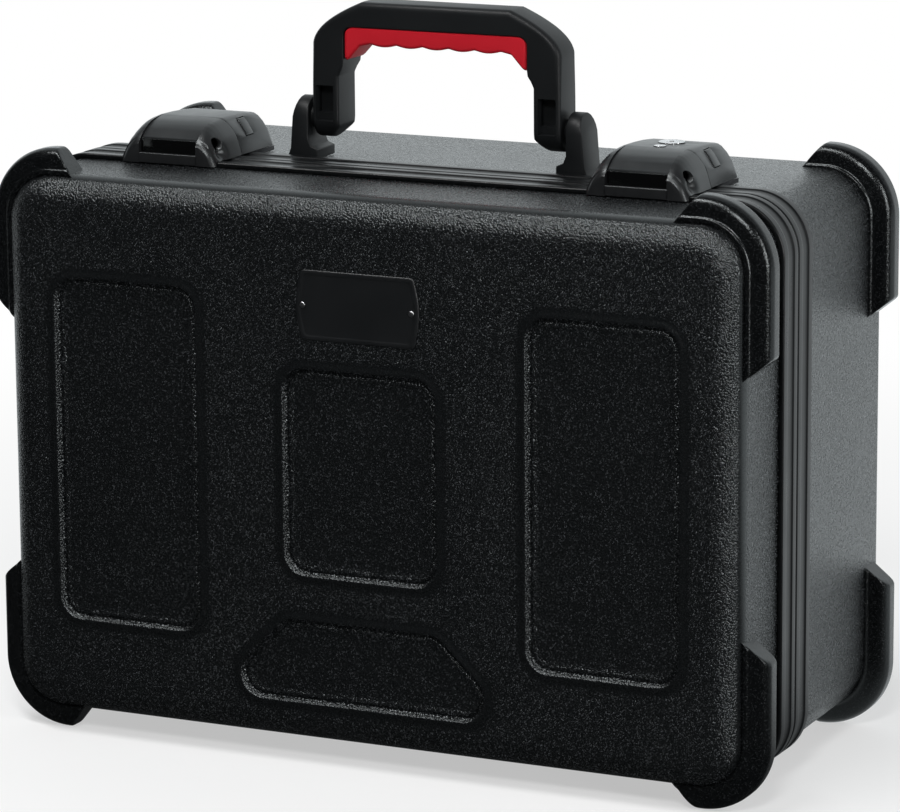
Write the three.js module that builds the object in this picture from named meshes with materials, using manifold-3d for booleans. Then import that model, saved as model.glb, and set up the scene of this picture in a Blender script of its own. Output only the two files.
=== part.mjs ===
// A moulded carrying case for microphones: two shells with corner bumpers and recessed panels,
// ribbed valances at the parting line, two flip latches, a folding handle and a foam insert.
// Millimetres, +Z up. X runs across the case, the lid faces -Y, and the origin lies on the
// surface that the case stands on, under the middle of its box.
import * as THREE from "three";
import { mergeVertices } from "three/addons/utils/BufferGeometryUtils.js";
import Module from "manifold-3d";

const wasm = await Module();
wasm.setup();

// Clearances
const fit = 0.3; // between pieces that touch
const running = 0.4; // beside pieces that turn or slide
const overrun = 1; // by which a cutting tool passes the face that it cuts

// Shells, measured from the front plane back and outwards from the outline of the rims
const caseDepth = 237;
const rimHalfWidth = 246.8;
const rimHalfHeight = 172;
const cornerRadius = 31;
const shellWall = 3;
const shellDraft = 1.8; // narrowing from a rim to the face of its shell
const lidEdgeRadius = 18;
const baseEdgeRadius = 7;

// Valances
const valanceFront = 57.7; // front plane to the lid valance
const bandDepth = 23.1; // depth of each valance
const valanceStand = 3.2; // proud of the shell rim
const lidChannel = 15; // to which the rim of the lid enters its valance
const baseChannel = 12.5; // to which the rim of the base enters its valance
const valanceLeg = 2.2; // wall of a valance inside the shell
const tongueHeight = 3; // tongue of the lid valance
const tongueWidth = 2.2;
const tonguePlay = 0.5; // between the tongue and the inner side of the groove
const grooveDepth = 7; // groove of the base valance
const sealHeight = 3.2;
// A valance from front to back, as shares of its stand and of its depth
const ribShares = [
  [0.8, 0],
  [1, 0.028],
  [1, 0.28],
  [0.66, 0.325],
  [0.66, 0.675],
  [1, 0.72],
  [1, 0.958],
  [0.8, 0.987],
];

// Corner bumpers
const bumperStand = 12.6;
const bumperDepth = 16;
const lidBumperFront = 11;
const baseBumperBack = 10; // rear plane to the back of a base bumper
const sideArmEnd = 79; // half-height at which the side arms end
const topArmEnd = 201; // half-width at which the top arms end
// The section of a bumper, as shares of its stand and of its depth
const bumperShares = [
  [-0.2, 0],
  [0.05, 0],
  [0.5, 0.12],
  [0.86, 0.27],
  [1, 0.42],
  [1, 0.93],
  [0.93, 1],
  [-0.1, 1],
];

// Recessed panels in the lid
const recessDepth = 4.4;
const recessRadius = 14;
const sidePanelInner = 110.5;
const sidePanelOuter = 207.5;
const sidePanelHalfHeight = 107.4;
const middlePanelHalfWidth = 50.5;
const middlePanelHalfHeight = 63.5;
const lowPanelTop = -93;
const lowPanelShoulder = -125;
const lowPanelBottom = -143.5;
const lowPanelTopHalf = 50.5;
const lowPanelShoulderHalf = 84;
const lowPanelBottomHalf = 77;
// The wall of a recess, as shares of its depth: outwards, then down
const recessShares = [
  [0.32, 0],
  [0.08, 0.34],
  [-0.1, 1],
];

// Badge plate
const badgeCentre = 103.6;
const badgeHalfWidth = 37.4;
const badgeBow = 3.6; // by which its ends bulge
const badgeHalfHeight = 21.5;
const badgeThickness = 1.6;
const badgeSink = 1.1; // depth of the seat in the lid
const badgeRivetSpan = 36.2;
const badgeRivetHead = 1.9; // radius of the head of a rivet
const badgeRivetDome = 0.8;
const badgeRivetShank = 1.1; // radius of its shank

// Handle
const handleSetback = 121; // front plane to the middle of the handle
const handleThickness = 25.5;
const handleHalfWidth = 84;
const legWidth = 18;
const handleTop = 99.6; // above the top of the shell rim
const handlePivotHeight = 26.2; // above the top of the shell rim
const handleEdge = 2.4; // bevel round its faces
const barHeight = 15.6;
const shoulderDrop = 26.5;
const shoulderReach = 34;
const shoulderShares = [0.05, 0.5]; // of reach and drop, where the shoulder curve is steered
const legBevelWidth = 7;
const legBevelHeight = 7.5;
const elbowWidth = 3.9; // by which the handle widens beside the grip
const elbowLow = 46.6; // top of the handle to the lower end of the elbow
const elbowHigh = 38.6;
const pocketInset = 2.9; // outer side of a leg to its pocket
const pocketWidth = 11.8;
const pocketHeight = 21.6;
const pocketFoot = 11.2; // lower end of a leg to its pocket
const pocketDepth = 8;
const pocketStepHeight = 5;
const pocketStepDepth = 4;
const coreHeight = 7.6; // tongue of the handle inside the grip
const coreInset = 11.8; // end of the grip to the end of the core
const coreThickness = 13.4;

// Grip
const gripThickness = 24.5;
const gripHeight = 11.4;
const gripEdge = 1.8;
const gripBumps = 5;
const bumpRun = 7.3; // last bump to the start of a bulb
const bumpDrop = 1.5;
const bumpSteps = 6;
const bulbReach = 4.8; // end of the grip to the tip of its bulb
const bulbWidth = 10.5; // end of the grip to the start of its bulb
const bulbDrop = 6.2;

// Brackets of the handle
const earGap = 3.5; // between a leg and its bracket
const earThickness = 9.8;
const earFlare = 4.6; // by which the foot is wider outside
const earRadius = 12.3;
const earTopBevel = 1.6;
const footReach = 6.5; // inwards
const footHeight = 6;
const footFillet = 6.5;
const bossRadius = 7.5;
const handlePinRadius = 3;
const handlePinInLeg = 13.7;
const handlePinInEar = 7.2;

// Latches
const latchSpacing = 157; // middle of the case to the middle of a latch
const latchFront = 54;
const latchLength = 77;
const latchHalfWidth = 34.4;
const latchHeight = 23; // above the valances
const latchSeam = 88; // front plane to the seam between housing and lever
const latchPivotSetback = 64;
const latchPivotHeight = 10;
const latchPinRadius = 1.9;
const latchPinReach = 25.6; // half-length of the pin
const latchBoreRadius = 3.85; // of the bore at its ends
const latchWall = 2.3;
// The body of a latch from front to back: shares of its length, half-width and height, which its
// curves pass through
const latchShares = [
  [0, 0.6, 0.165],
  [0.032, 0.74, 0.2],
  [0.052, 0.815, 0.46],
  [0.09, 0.887, 0.62],
  [0.13, 0.93, 0.74],
  [0.182, 1, 0.826],
  [0.234, 1, 0.896],
  [0.338, 1, 0.974],
  [0.442, 1, 1],
  [0.727, 1, 0.97],
  [0.961, 1, 0.904],
  [0.99, 0.983, 0.85],
  [1, 0.95, 0.76],
];
// Its section, as shares of the half-width and of the height at that place
const latchSectionShares = [
  [1, 0],
  [0.9, 0.513],
  [0.8, 0.76],
  [0.705, 0.925],
  [0.64, 0.983],
  [0.574, 1],
];
const latchSteps = 18; // between the front and the back of the body
const scoopFloor = 1.4; // of the scoop below a pin, above the valances
const scoopLow = [36.4, 7.2]; // middle of the latch to its axis, and its radius, at the floor
const scoopHigh = [31.5, 4.6]; // and at the pin
const housingLip = 3.4; // depth of the lip that hangs in front of the valance
const housingLipHalf = 20.5;
const housingLipDrop = 2.6; // below the top of the valance
const housingFloor = 1.7;
const housingFloorLength = 14;
const noseHalfWidth = 19.5;
const noseInset = 2.6; // front of the lip to the front of the nose
const noseRadius = 9.4; // sweep of the nose about the pin
const noseSolid = 5; // solid length behind the pin
const noseHeight = 12; // of the upright front of the nose
const noseLow = 4.3;
const noseChamfer = 1.4; // at the top of its front
const seamRadius = 24; // of the seam above the pin
const buttonSetback = 99.5;
const buttonLength = 9.4;
const buttonLow = 10.6;
const buttonHigh = 20.6;
const buttonInner = 18; // middle of the latch to the inner face of a button
const buttonStand = 0.5;
const buttonFlange = 1.3;
const buttonFlangeThickness = 2.4;
const buttonTravel = 2.2;
const hookSetback = 96;
const hookHalfWidth = 9;
const hookThickness = 2.4;
const hookToe = 2;
const keeperTongue = 12; // forward reach over the base valance
const keeperTongueHalf = 13;
const keeperTongueThickness = 1.5;
const keeperRoot = 8;
const keeperSlotHalf = 10;
const keeperSlotLength = 5;
const keeperSlotInset = 2.5;
const lockSetback = 109;
const lockRadius = 8;
const lockLength = 11;
const lockStand = 0.8;
const lockBossWall = 2;
const lockBossDrop = 8; // top of the lever to the end of the boss
const keyHalfWidth = 2.6;
const keyThickness = 1.1;
const keyRadius = 1.6;
const keyDepth = 3;
const camReach = 10;
const camHalfWidth = 2.6;
const camThickness = 2;
const indicatorSetback = 90.7;
const indicatorRadius = 3.7;
const indicatorLength = 4;
const indicatorStand = 0.5;

// Hinges under the case
const hingeSpacing = 150;
const hingeHalfWidth = 32;
const leafThickness = 1.5;
const leafReach = 19;
const knuckleRadius = 3;
const hingePinRadius = 1.4;
const knuckleShares = [-1, -0.36, 0.36, 1]; // of the half-width, where the knuckles meet

// Foam
const foamGap = 0.5;
const foamInset = 7; // rim outline to the sides of the foam
const foamSet = 4; // parting plane to the front of the foam in the base
const floorPad = 12;
const dropRows = 3;
const dropColumns = 5;
const dropRadius = 22;
const dropPitch = 67.2;
const lidFoamDepth = 74;
const lidFoamBevel = 5;

// Facets
const cornerSteps = 6;
const roundSteps = 20;
const smallSteps = 12; // of rivets, pins, their bores and hinges
const edgeSteps = 4;
const panelSteps = 3;
const curveSteps = 6;
const dropSteps = 14;

// Places worked out from the sizes
const badgeStand = badgeThickness + fit - badgeSink; // of the plate, in front of the lid
const rivetStand = badgeStand + fit / 2 + badgeRivetDome;
const frontPlane = (rivetStand - caseDepth) / 2; // of the lid
const caseMiddle = rimHalfHeight + bumperStand; // height of the middle of the shells
const parting = valanceFront + bandDepth;
const valanceBack = parting + bandDepth;
const rimTop = caseMiddle + rimHalfHeight;
const valanceTop = rimTop + valanceStand;
const valanceInner = -shellWall - fit - valanceLeg; // offset of the inside of a valance
const gripHalfWidth = handleHalfWidth - legWidth - elbowWidth - fit;
const coreHalfWidth = gripHalfWidth - coreInset;
const bumpPitch = (2 * (gripHalfWidth - bulbWidth - bumpRun)) / gripBumps;
const pivotDepth = frontPlane + handleSetback;
const pivotLevel = rimTop + handlePivotHeight;
const latchPivotDepth = frontPlane + latchPivotSetback;
const latchPivotLevel = valanceTop + latchPivotHeight;
const latchCurve = new THREE.CatmullRomCurve3(latchShares.map((share) => new THREE.Vector3(...share)));
const latchStations = latchCurve.getPoints(latchSteps).map((share) => share.toArray());
const hingeDepth = frontPlane + parting;
const leafTop = caseMiddle - rimHalfHeight - valanceStand - fit;
const hingeLevel = leafTop - knuckleRadius - fit / 2;
const foamBack = caseDepth - shellWall - foamGap;

// Materials
function finish(color, roughness, metalness = 0) {
  return new THREE.MeshStandardMaterial({ color, roughness, metalness });
}
const shellBlack = finish(0x1b1c1f, 0.48);
const valanceBlack = finish(0x17181a, 0.32);
const latchBlack = finish(0x16171a, 0.28);
const handleBlack = finish(0x1a1b1d, 0.5);
const gripRed = finish(0xb01222, 0.55);
const badgeBlack = finish(0x101114, 0.35);
const steel = finish(0xb9bcc0, 0.3, 1);
const darkSteel = finish(0x34363a, 0.42, 0.9);
const sealBlack = finish(0x0c0c0d, 0.85);
const foamGrey = finish(0x26272b, 0.95);

// Solids from geometries and back
function signedVolume(positions, index) {
  const a = new THREE.Vector3();
  const b = new THREE.Vector3();
  const c = new THREE.Vector3();
  let sum = 0;
  for (let i = 0; i < index.count; i += 3) {
    a.fromBufferAttribute(positions, index.getX(i));
    b.fromBufferAttribute(positions, index.getX(i + 1));
    c.fromBufferAttribute(positions, index.getX(i + 2));
    sum += a.dot(b.cross(c));
  }
  return sum;
}

function solid(geometry) {
  const bare = new THREE.BufferGeometry().setAttribute("position", geometry.getAttribute("position"));
  if (geometry.index) bare.setIndex(geometry.index);
  const merged = mergeVertices(bare);
  const triVerts = new Uint32Array(merged.index.array);
  if (signedVolume(merged.attributes.position, merged.index) < 0) triVerts.reverse();
  return new wasm.Manifold(
    new wasm.Mesh({ numProp: 3, vertProperties: merged.attributes.position.array, triVerts }),
  );
}

function geometryOf(shape) {
  const mesh = shape.getMesh();
  return new THREE.BufferGeometry()
    .setAttribute("position", new THREE.BufferAttribute(mesh.vertProperties, 3))
    .setIndex(new THREE.BufferAttribute(mesh.triVerts, 1));
}

const joined = (...shapes) => shapes.reduce((sum, shape) => sum.add(shape));

// Flat triangles over a closed ring, wound as the ring is
function capFaces(ring) {
  const normal = new THREE.Vector3();
  ring.forEach((p, i) => normal.add(new THREE.Vector3().crossVectors(p, ring[(i + 1) % ring.length])));
  const size = [Math.abs(normal.x), Math.abs(normal.y), Math.abs(normal.z)];
  const drop = size.indexOf(Math.max(...size));
  const flat = ring.map((p) => new THREE.Vector2(...p.toArray().filter((_, axis) => axis !== drop)));
  return THREE.ShapeUtils.triangulateShape(flat, []).map(([a, b, c]) => {
    const u = new THREE.Vector3().subVectors(ring[b], ring[a]);
    const v = new THREE.Vector3().subVectors(ring[c], ring[a]);
    return u.cross(v).dot(normal) < 0 ? [a, c, b] : [a, b, c];
  });
}

// A skin over a row of rings with equal counts, its ends capped or joined to each other
function loft(rings, endless = false) {
  const count = rings[0].length;
  const positions = rings.flatMap((ring) => ring.flatMap((p) => p.toArray()));
  const faces = [];
  const last = endless ? rings.length : rings.length - 1;
  for (let r = 0; r < last; r++) {
    const here = r * count;
    const next = ((r + 1) % rings.length) * count;
    for (let i = 0; i < count; i++) {
      const j = (i + 1) % count;
      faces.push(here + i, next + i, here + j, here + j, next + i, next + j);
    }
  }
  if (!endless) {
    const end = (rings.length - 1) * count;
    capFaces(rings[0]).forEach(([a, b, c]) => faces.push(a, b, c));
    capFaces(rings.at(-1)).forEach(([a, b, c]) => faces.push(end + a, end + c, end + b));
  }
  return new THREE.BufferGeometry()
    .setAttribute("position", new THREE.Float32BufferAttribute(positions, 3))
    .setIndex(faces);
}

// A box between two corners
function block([x0, y0, z0], [x1, y1, z1]) {
  const box = new THREE.BoxGeometry(x1 - x0, y1 - y0, z1 - z0);
  return solid(box.translate((x0 + x1) / 2, (y0 + y1) / 2, (z0 + z1) / 2));
}

// A round bar along X, Y or Z from one end to the other, through the point where it starts
function bar(axis, from, length, radius, steps = roundSteps) {
  const rod = new THREE.CylinderGeometry(radius, radius, length, steps);
  if (axis === "x") rod.rotateZ(-Math.PI / 2).translate(length / 2, 0, 0);
  if (axis === "y") rod.translate(0, length / 2, 0);
  if (axis === "z") rod.rotateX(Math.PI / 2).translate(0, 0, length / 2);
  return solid(rod.translate(...from));
}

// An outline in X and Z carried along Y
function alongY(outline, y0, y1) {
  const ring = (y) => outline.map(([x, z]) => new THREE.Vector3(x, y, z));
  return solid(loft([ring(y0), ring(y1)]));
}

// An outline in Y and Z carried along X
function alongX(outline, x0, x1) {
  const ring = (x) => outline.map(([y, z]) => new THREE.Vector3(x, y, z));
  return solid(loft([ring(x0), ring(x1)]));
}

// Outlines in the plane of the case front, about the middle of the shells
function arcPoints(cx, cz, radius, start, end, steps) {
  return Array.from({ length: steps + 1 }, (_, i) => {
    const angle = start + ((end - start) * i) / steps;
    return [cx + radius * Math.cos(angle), cz + radius * Math.sin(angle)];
  });
}

// The rim outline, moved outwards by an offset, at a depth behind the front plane
function rimRing(offset, depth) {
  const quarter = Math.PI / 2;
  const cx = rimHalfWidth - cornerRadius;
  const cz = rimHalfHeight - cornerRadius;
  const corners = [[cx, -cz], [cx, cz], [-cx, cz], [-cx, -cz]];
  return corners.flatMap(([x, z], i) =>
    arcPoints(x, z, cornerRadius + offset, quarter * (i - 1), quarter * i, cornerSteps),
  ).map(([x, z]) => new THREE.Vector3(x, frontPlane + depth, caseMiddle + z));
}

// A polygon with round corners, listed anticlockwise and moved outwards by an offset
function roundedPolygon(corners, radius, offset, steps) {
  const count = corners.length;
  return corners.flatMap(([x, z], i) => {
    const here = new THREE.Vector2(x, z);
    const before = new THREE.Vector2(...corners[(i + count - 1) % count]).sub(here).normalize();
    const after = new THREE.Vector2(...corners[(i + 1) % count]).sub(here).normalize();
    const half = Math.acos(before.dot(after)) / 2;
    const centre = before.clone().add(after).normalize().multiplyScalar(radius / Math.sin(half)).add(here);
    const begin = Math.atan2(before.x, -before.y);
    return arcPoints(centre.x, centre.y, radius + offset, begin, begin + Math.PI - 2 * half, steps);
  });
}

// A closed profile of offsets and depths, carried once round the rim outline
const roundRim = (profile) => solid(loft(profile.map(([offset, depth]) => rimRing(offset, depth)), true));

// A solid block with the rim outline, moved outwards by an offset at each depth
const rimBlock = (profile) => solid(loft(profile.map(([offset, depth]) => rimRing(offset, depth))));

// A polygon in X and Z, anticlockwise, with each side moved inwards
function shrunk(outline, amount) {
  return outline.map(([x, z], i) => {
    const [ax, az] = outline[(i + outline.length - 1) % outline.length];
    const [bx, bz] = outline[(i + 1) % outline.length];
    const before = new THREE.Vector2(az - z, x - ax).normalize();
    const after = new THREE.Vector2(z - bz, bx - x).normalize();
    const mitre = before.clone().add(after);
    mitre.multiplyScalar(amount / (1 + before.dot(after)));
    return [x + mitre.x, z + mitre.y];
  });
}

// An outline in X and Z carried along Y, its faces bevelled all round
function bevelledY(outline, y0, y1, edge) {
  const ring = (points, y) => points.map(([x, z]) => new THREE.Vector3(x, y, z));
  const small = shrunk(outline, edge);
  return solid(loft([ring(small, y0), ring(outline, y0 + edge), ring(outline, y1 - edge), ring(small, y1)]));
}

const mirrorX = (points) => points.map(([x, z]) => [-x, z]).reverse();

// Offsets and depths over the outside of a shell, from its face to its rim
function shellProfile(edgeRadius, rimDepth, draftDepth, inset) {
  const radius = edgeRadius - inset;
  const rounded = Array.from({ length: edgeSteps + 1 }, (_, i) => {
    const angle = (Math.PI / 2) * (i / edgeSteps);
    return [
      -shellDraft - edgeRadius + radius * Math.sin(angle),
      edgeRadius - radius * Math.cos(angle),
    ];
  });
  return [...rounded, [-inset, draftDepth], [-inset, rimDepth]];
}

// One corner bumper, bent round a corner, with both arm ends cut at a slant
function bumper(sideX, sideZ, depth) {
  const cx = rimHalfWidth - cornerRadius;
  const cz = rimHalfHeight - cornerRadius;
  const section = bumperShares.map(([out, along]) => [out * bumperStand, depth + along * bumperDepth]);
  const place = (d, x, z) => new THREE.Vector3(sideX * x, frontPlane + d, caseMiddle + sideZ * z);
  const bend = Array.from({ length: cornerSteps + 1 }, (_, i) => {
    const angle = (Math.PI / 2) * (i / cornerSteps);
    return section.map(([o, d]) => {
      const reach = cornerRadius + o;
      return place(d, cx + reach * Math.cos(angle), cz + reach * Math.sin(angle));
    });
  });
  return solid(loft([
    section.map(([o, d]) => place(d, rimHalfWidth + o, sideArmEnd + Math.max(o, 0))),
    ...bend,
    section.map(([o, d]) => place(d, topArmEnd + Math.max(o, 0), rimHalfHeight + o)),
  ]));
}

function bumpers(depth) {
  const corners = [[1, 1], [-1, 1], [-1, -1], [1, -1]];
  return joined(...corners.map(([x, z]) => bumper(x, z, depth)));
}

// The recessed panels as outlines about the middle of the shells, anticlockwise from the front
function panelOutlines() {
  const box = (x0, x1, z) => [[x0, -z], [x1, -z], [x1, z], [x0, z]];
  return [
    box(-sidePanelOuter, -sidePanelInner, sidePanelHalfHeight),
    box(sidePanelInner, sidePanelOuter, sidePanelHalfHeight),
    box(-middlePanelHalfWidth, middlePanelHalfWidth, middlePanelHalfHeight),
    [
      [-lowPanelBottomHalf, lowPanelBottom],
      [lowPanelBottomHalf, lowPanelBottom],
      [lowPanelShoulderHalf, lowPanelShoulder],
      [lowPanelTopHalf, lowPanelTop],
      [-lowPanelTopHalf, lowPanelTop],
      [-lowPanelShoulderHalf, lowPanelShoulder],
    ],
  ];
}

// The space of a recess; with a wall, the pad that it leaves inside the shell
function recess(outline, wall) {
  const walls = recessShares.map(([out, down]) => [out * recessDepth, down * recessDepth]);
  const rings = [[walls[0][0], -overrun], ...walls].map(([offset, depth]) =>
    roundedPolygon(outline, recessRadius, offset + wall, panelSteps).map(
      ([x, z]) => new THREE.Vector3(x, frontPlane + depth + wall, caseMiddle + z),
    ),
  );
  return solid(loft(rings));
}

// The badge outline: straight above and below, bulging at its ends
function badgeOutline(margin) {
  const x = badgeHalfWidth + margin;
  const z = badgeHalfHeight + margin;
  const end = (side) => Array.from({ length: curveSteps + 1 }, (_, i) => {
    const share = i / curveSteps;
    return [side * (x + badgeBow * Math.sin(Math.PI * share)), side * z * (2 * share - 1)];
  });
  return [...end(1), ...end(-1)].map(([px, pz]) => [px, caseMiddle + badgeCentre + pz]);
}

// Round bars along Y at both badge rivets
function rivetBars(from, length, radius) {
  return joined(...[-1, 1].map((side) =>
    bar("y", [side * badgeRivetSpan, from, caseMiddle + badgeCentre], length, radius, smallSteps),
  ));
}

// Lid: a moulded tray with a round front edge, corner bumpers and recessed panels
function lidShell() {
  const rim = valanceFront + lidChannel;
  const outside = rimBlock(shellProfile(lidEdgeRadius, rim, valanceFront, 0));
  let body = outside.add(bumpers(lidBumperFront));
  let inside = rimBlock(shellProfile(lidEdgeRadius, rim + overrun, valanceFront, shellWall));
  for (const outline of panelOutlines()) {
    body = body.subtract(recess(outline, 0));
    inside = inside.subtract(recess(outline, shellWall));
  }
  const seat = alongY(badgeOutline(fit), frontPlane - overrun, frontPlane + badgeSink);
  const holes = rivetBars(frontPlane - overrun, shellWall + 2 * overrun, badgeRivetShank + fit);
  return body.subtract(inside).subtract(seat).subtract(holes);
}

// Base: a deeper tray with a tighter rear edge and its own corner bumpers
function baseShell() {
  const straight = caseDepth - valanceBack;
  const rim = straight + baseChannel;
  const turned = ([offset, depth]) => [offset, caseDepth - depth];
  const outside = rimBlock(shellProfile(baseEdgeRadius, rim, straight, 0).map(turned));
  const inside = rimBlock(shellProfile(baseEdgeRadius, rim + overrun, straight, shellWall).map(turned));
  return outside.add(bumpers(caseDepth - baseBumperBack - bumperDepth)).subtract(inside);
}

// The ribbed outside of a valance and the channel inside it, from its outer end to the parting
function valanceProfile(channel, mating) {
  const mouth = -shellWall - fit;
  const face = bandDepth - fit;
  return [
    ...ribShares.map(([out, along]) => [out * valanceStand, along * bandDepth]),
    ...mating(face),
    [valanceInner, face],
    [valanceInner, fit + valanceLeg],
    [mouth, fit + valanceLeg],
    [mouth, channel + fit],
    [fit, channel + fit],
    [fit, 0],
  ];
}

// Lid valance: holds the rim of the lid, with a tongue towards the base
function lidValance() {
  const tongue = (face) => [
    [-fit, face],
    [-fit, face + tongueHeight],
    [-fit - tongueWidth, face + tongueHeight],
    [-fit - tongueWidth, face],
  ];
  return roundRim(valanceProfile(lidChannel, tongue).map(([o, d]) => [o, valanceFront + d]));
}

// The groove of the base valance: its outer and inner side and the depth of its floor
const grooveOuter = running;
const grooveInner = -tongueWidth - fit - tonguePlay;
const grooveFloor = parting + grooveDepth;

// Base valance: the same section turned round, with a groove for the tongue and the seal
function baseValance() {
  const groove = (face) => [
    [grooveOuter, face],
    [grooveOuter, bandDepth - grooveDepth],
    [grooveInner, bandDepth - grooveDepth],
    [grooveInner, face],
  ];
  return roundRim(valanceProfile(baseChannel, groove).map(([o, d]) => [o, valanceBack - d]));
}

// Seal: a closed ring on the floor of the groove
function gasket() {
  const back = grooveFloor - fit;
  const front = back - sealHeight;
  const middle = (grooveOuter + grooveInner) / 2;
  return roundRim([
    [grooveOuter - fit, back],
    [grooveOuter - fit, front + fit],
    [middle, front],
    [grooveInner + fit, front + fit],
    [grooveInner + fit, back],
  ]);
}

// Badge plate: bare, with a bevelled edge, in its shallow seat
function badgePlate() {
  const front = frontPlane - badgeStand;
  const outline = badgeOutline(0);
  const ring = (points, y) => points.map(([x, z]) => new THREE.Vector3(x, y, z));
  const back = front + badgeThickness;
  const plate = solid(loft([
    ring(shrunk(outline, badgeThickness / 2), front),
    ring(outline, front + badgeThickness / 2),
    ring(outline, back),
  ]));
  return plate.subtract(rivetBars(front - overrun, badgeThickness + 2 * overrun, badgeRivetShank + fit));
}

// Rivet with a domed head, turned about its axis
function badgeRivet(side) {
  const face = frontPlane - badgeStand - fit / 2;
  const dome = Array.from({ length: edgeSteps + 1 }, (_, i) => {
    const angle = (Math.PI / 2) * (i / edgeSteps);
    return new THREE.Vector2(badgeRivetHead * Math.sin(angle), -badgeRivetDome * Math.cos(angle));
  });
  const length = badgeThickness + shellWall + overrun;
  const profile = [
    ...dome,
    new THREE.Vector2(badgeRivetShank, 0),
    new THREE.Vector2(badgeRivetShank, length),
    new THREE.Vector2(0, length),
  ];
  const turned = new THREE.LatheGeometry(profile, smallSteps);
  return solid(turned.translate(side * badgeRivetSpan, face, caseMiddle + badgeCentre));
}

// Half of the outside of the handle, from the foot of a leg to the middle of the bar
function handleOutside() {
  const start = new THREE.Vector2(handleHalfWidth, rimTop + handleTop - shoulderDrop);
  const end = new THREE.Vector2(handleHalfWidth - shoulderReach, rimTop + handleTop);
  const steer = new THREE.Vector2(
    handleHalfWidth - shoulderShares[0] * shoulderReach,
    rimTop + handleTop - shoulderShares[1] * shoulderDrop,
  );
  return new THREE.QuadraticBezierCurve(start, steer, end).getPoints(curveSteps).map((p) => [p.x, p.y]);
}

// Handle: two legs and a bar with its elbows, bevelled, with pockets and a core for the grip
function handleFrame() {
  const foot = pivotLevel - handleThickness / 2 + fit;
  const legInner = handleHalfWidth - legWidth;
  const top = rimTop + handleTop;
  const half = [[handleHalfWidth, foot], ...handleOutside()];
  const inner = [
    [legInner - elbowWidth, top - barHeight],
    [legInner - elbowWidth, top - elbowHigh],
    [legInner, top - elbowLow],
    [legInner, foot + legBevelHeight],
    [legInner + legBevelWidth, foot],
  ];
  const outline = [...half, ...mirrorX(half), ...mirrorX(inner), ...inner];
  const front = pivotDepth - handleThickness / 2;
  const back = pivotDepth + handleThickness / 2;
  const plate = bevelledY(outline, front, back, handleEdge);
  const rounded = alongX(
    [
      ...arcPoints(pivotDepth, pivotLevel, handleThickness / 2, Math.PI, 2 * Math.PI, roundSteps / 2),
      [back, top],
      [front, top],
    ],
    -handleHalfWidth,
    handleHalfWidth,
  );
  const core = block(
    [-coreHalfWidth, pivotDepth - coreThickness / 2, top - barHeight - coreHeight],
    [coreHalfWidth, pivotDepth + coreThickness / 2, top - barHeight + overrun],
  );
  let body = plate.intersect(rounded).add(core);
  for (const side of [-1, 1]) {
    body = body.subtract(handlePockets(side, foot)).subtract(handleBore(side));
  }
  return body;
}

// Pockets in the front and the back of a leg, shallower at their lower end
function handlePockets(side, foot) {
  const outer = handleHalfWidth - pocketInset;
  const low = foot + pocketFoot;
  const pocket = (face, depth, from, to) => block(
    [side * (outer - pocketWidth), pivotDepth + face * (handleThickness / 2 - depth), from],
    [side * outer, pivotDepth + face * (handleThickness / 2 + overrun), to],
  );
  return joined(...[-1, 1].flatMap((face) => [
    pocket(face, pocketDepth, low + pocketStepHeight, low + pocketHeight),
    pocket(face, pocketStepDepth, low, low + pocketStepHeight + overrun),
  ]));
}

// The blind bore for the pin in a leg
function handleBore(side) {
  const start = handleHalfWidth - handlePinInLeg - fit;
  const radius = handlePinRadius + fit;
  return sideBar(side, start, handleHalfWidth + overrun, pivotDepth, pivotLevel, radius, smallSteps);
}

// A round bar along X between two distances from the middle of the case, on one side of it
function sideBar(side, near, far, y, z, radius, steps = roundSteps) {
  return bar("x", [side > 0 ? near : -far, y, z], far - near, radius, steps);
}

// Grip: a soft sleeve under the bar, with finger bumps and a bulb at each end
function handleGrip() {
  const top = rimTop + handleTop - barHeight - fit;
  const under = top - gripHeight;
  const bumpsHalf = (gripBumps * bumpPitch) / 2;
  const steps = gripBumps * bumpSteps;
  const bumps = Array.from({ length: steps + 1 }, (_, i) => {
    const x = bumpsHalf - (2 * bumpsHalf * i) / steps;
    const wave = Math.cos((Math.PI * 2 * x) / bumpPitch + Math.PI * (gripBumps - 1));
    return [x, under + (bumpDrop / 2) * (1 - wave)];
  });
  const end = [
    [gripHalfWidth - bulbWidth, under],
    [gripHalfWidth - bulbReach, under - bulbDrop],
    [gripHalfWidth, under - 2 * bulbDrop],
    [gripHalfWidth, top],
  ];
  const outline = [...mirrorX(end), ...bumps.reverse(), ...end];
  const half = gripThickness / 2;
  const sleeve = bevelledY(outline, pivotDepth - half, pivotDepth + half, gripEdge);
  const slot = block(
    [-coreHalfWidth - fit, pivotDepth - coreThickness / 2 - fit, top - coreHeight],
    [coreHalfWidth + fit, pivotDepth + coreThickness / 2 + fit, top + overrun],
  );
  return sleeve.subtract(slot);
}

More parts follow.
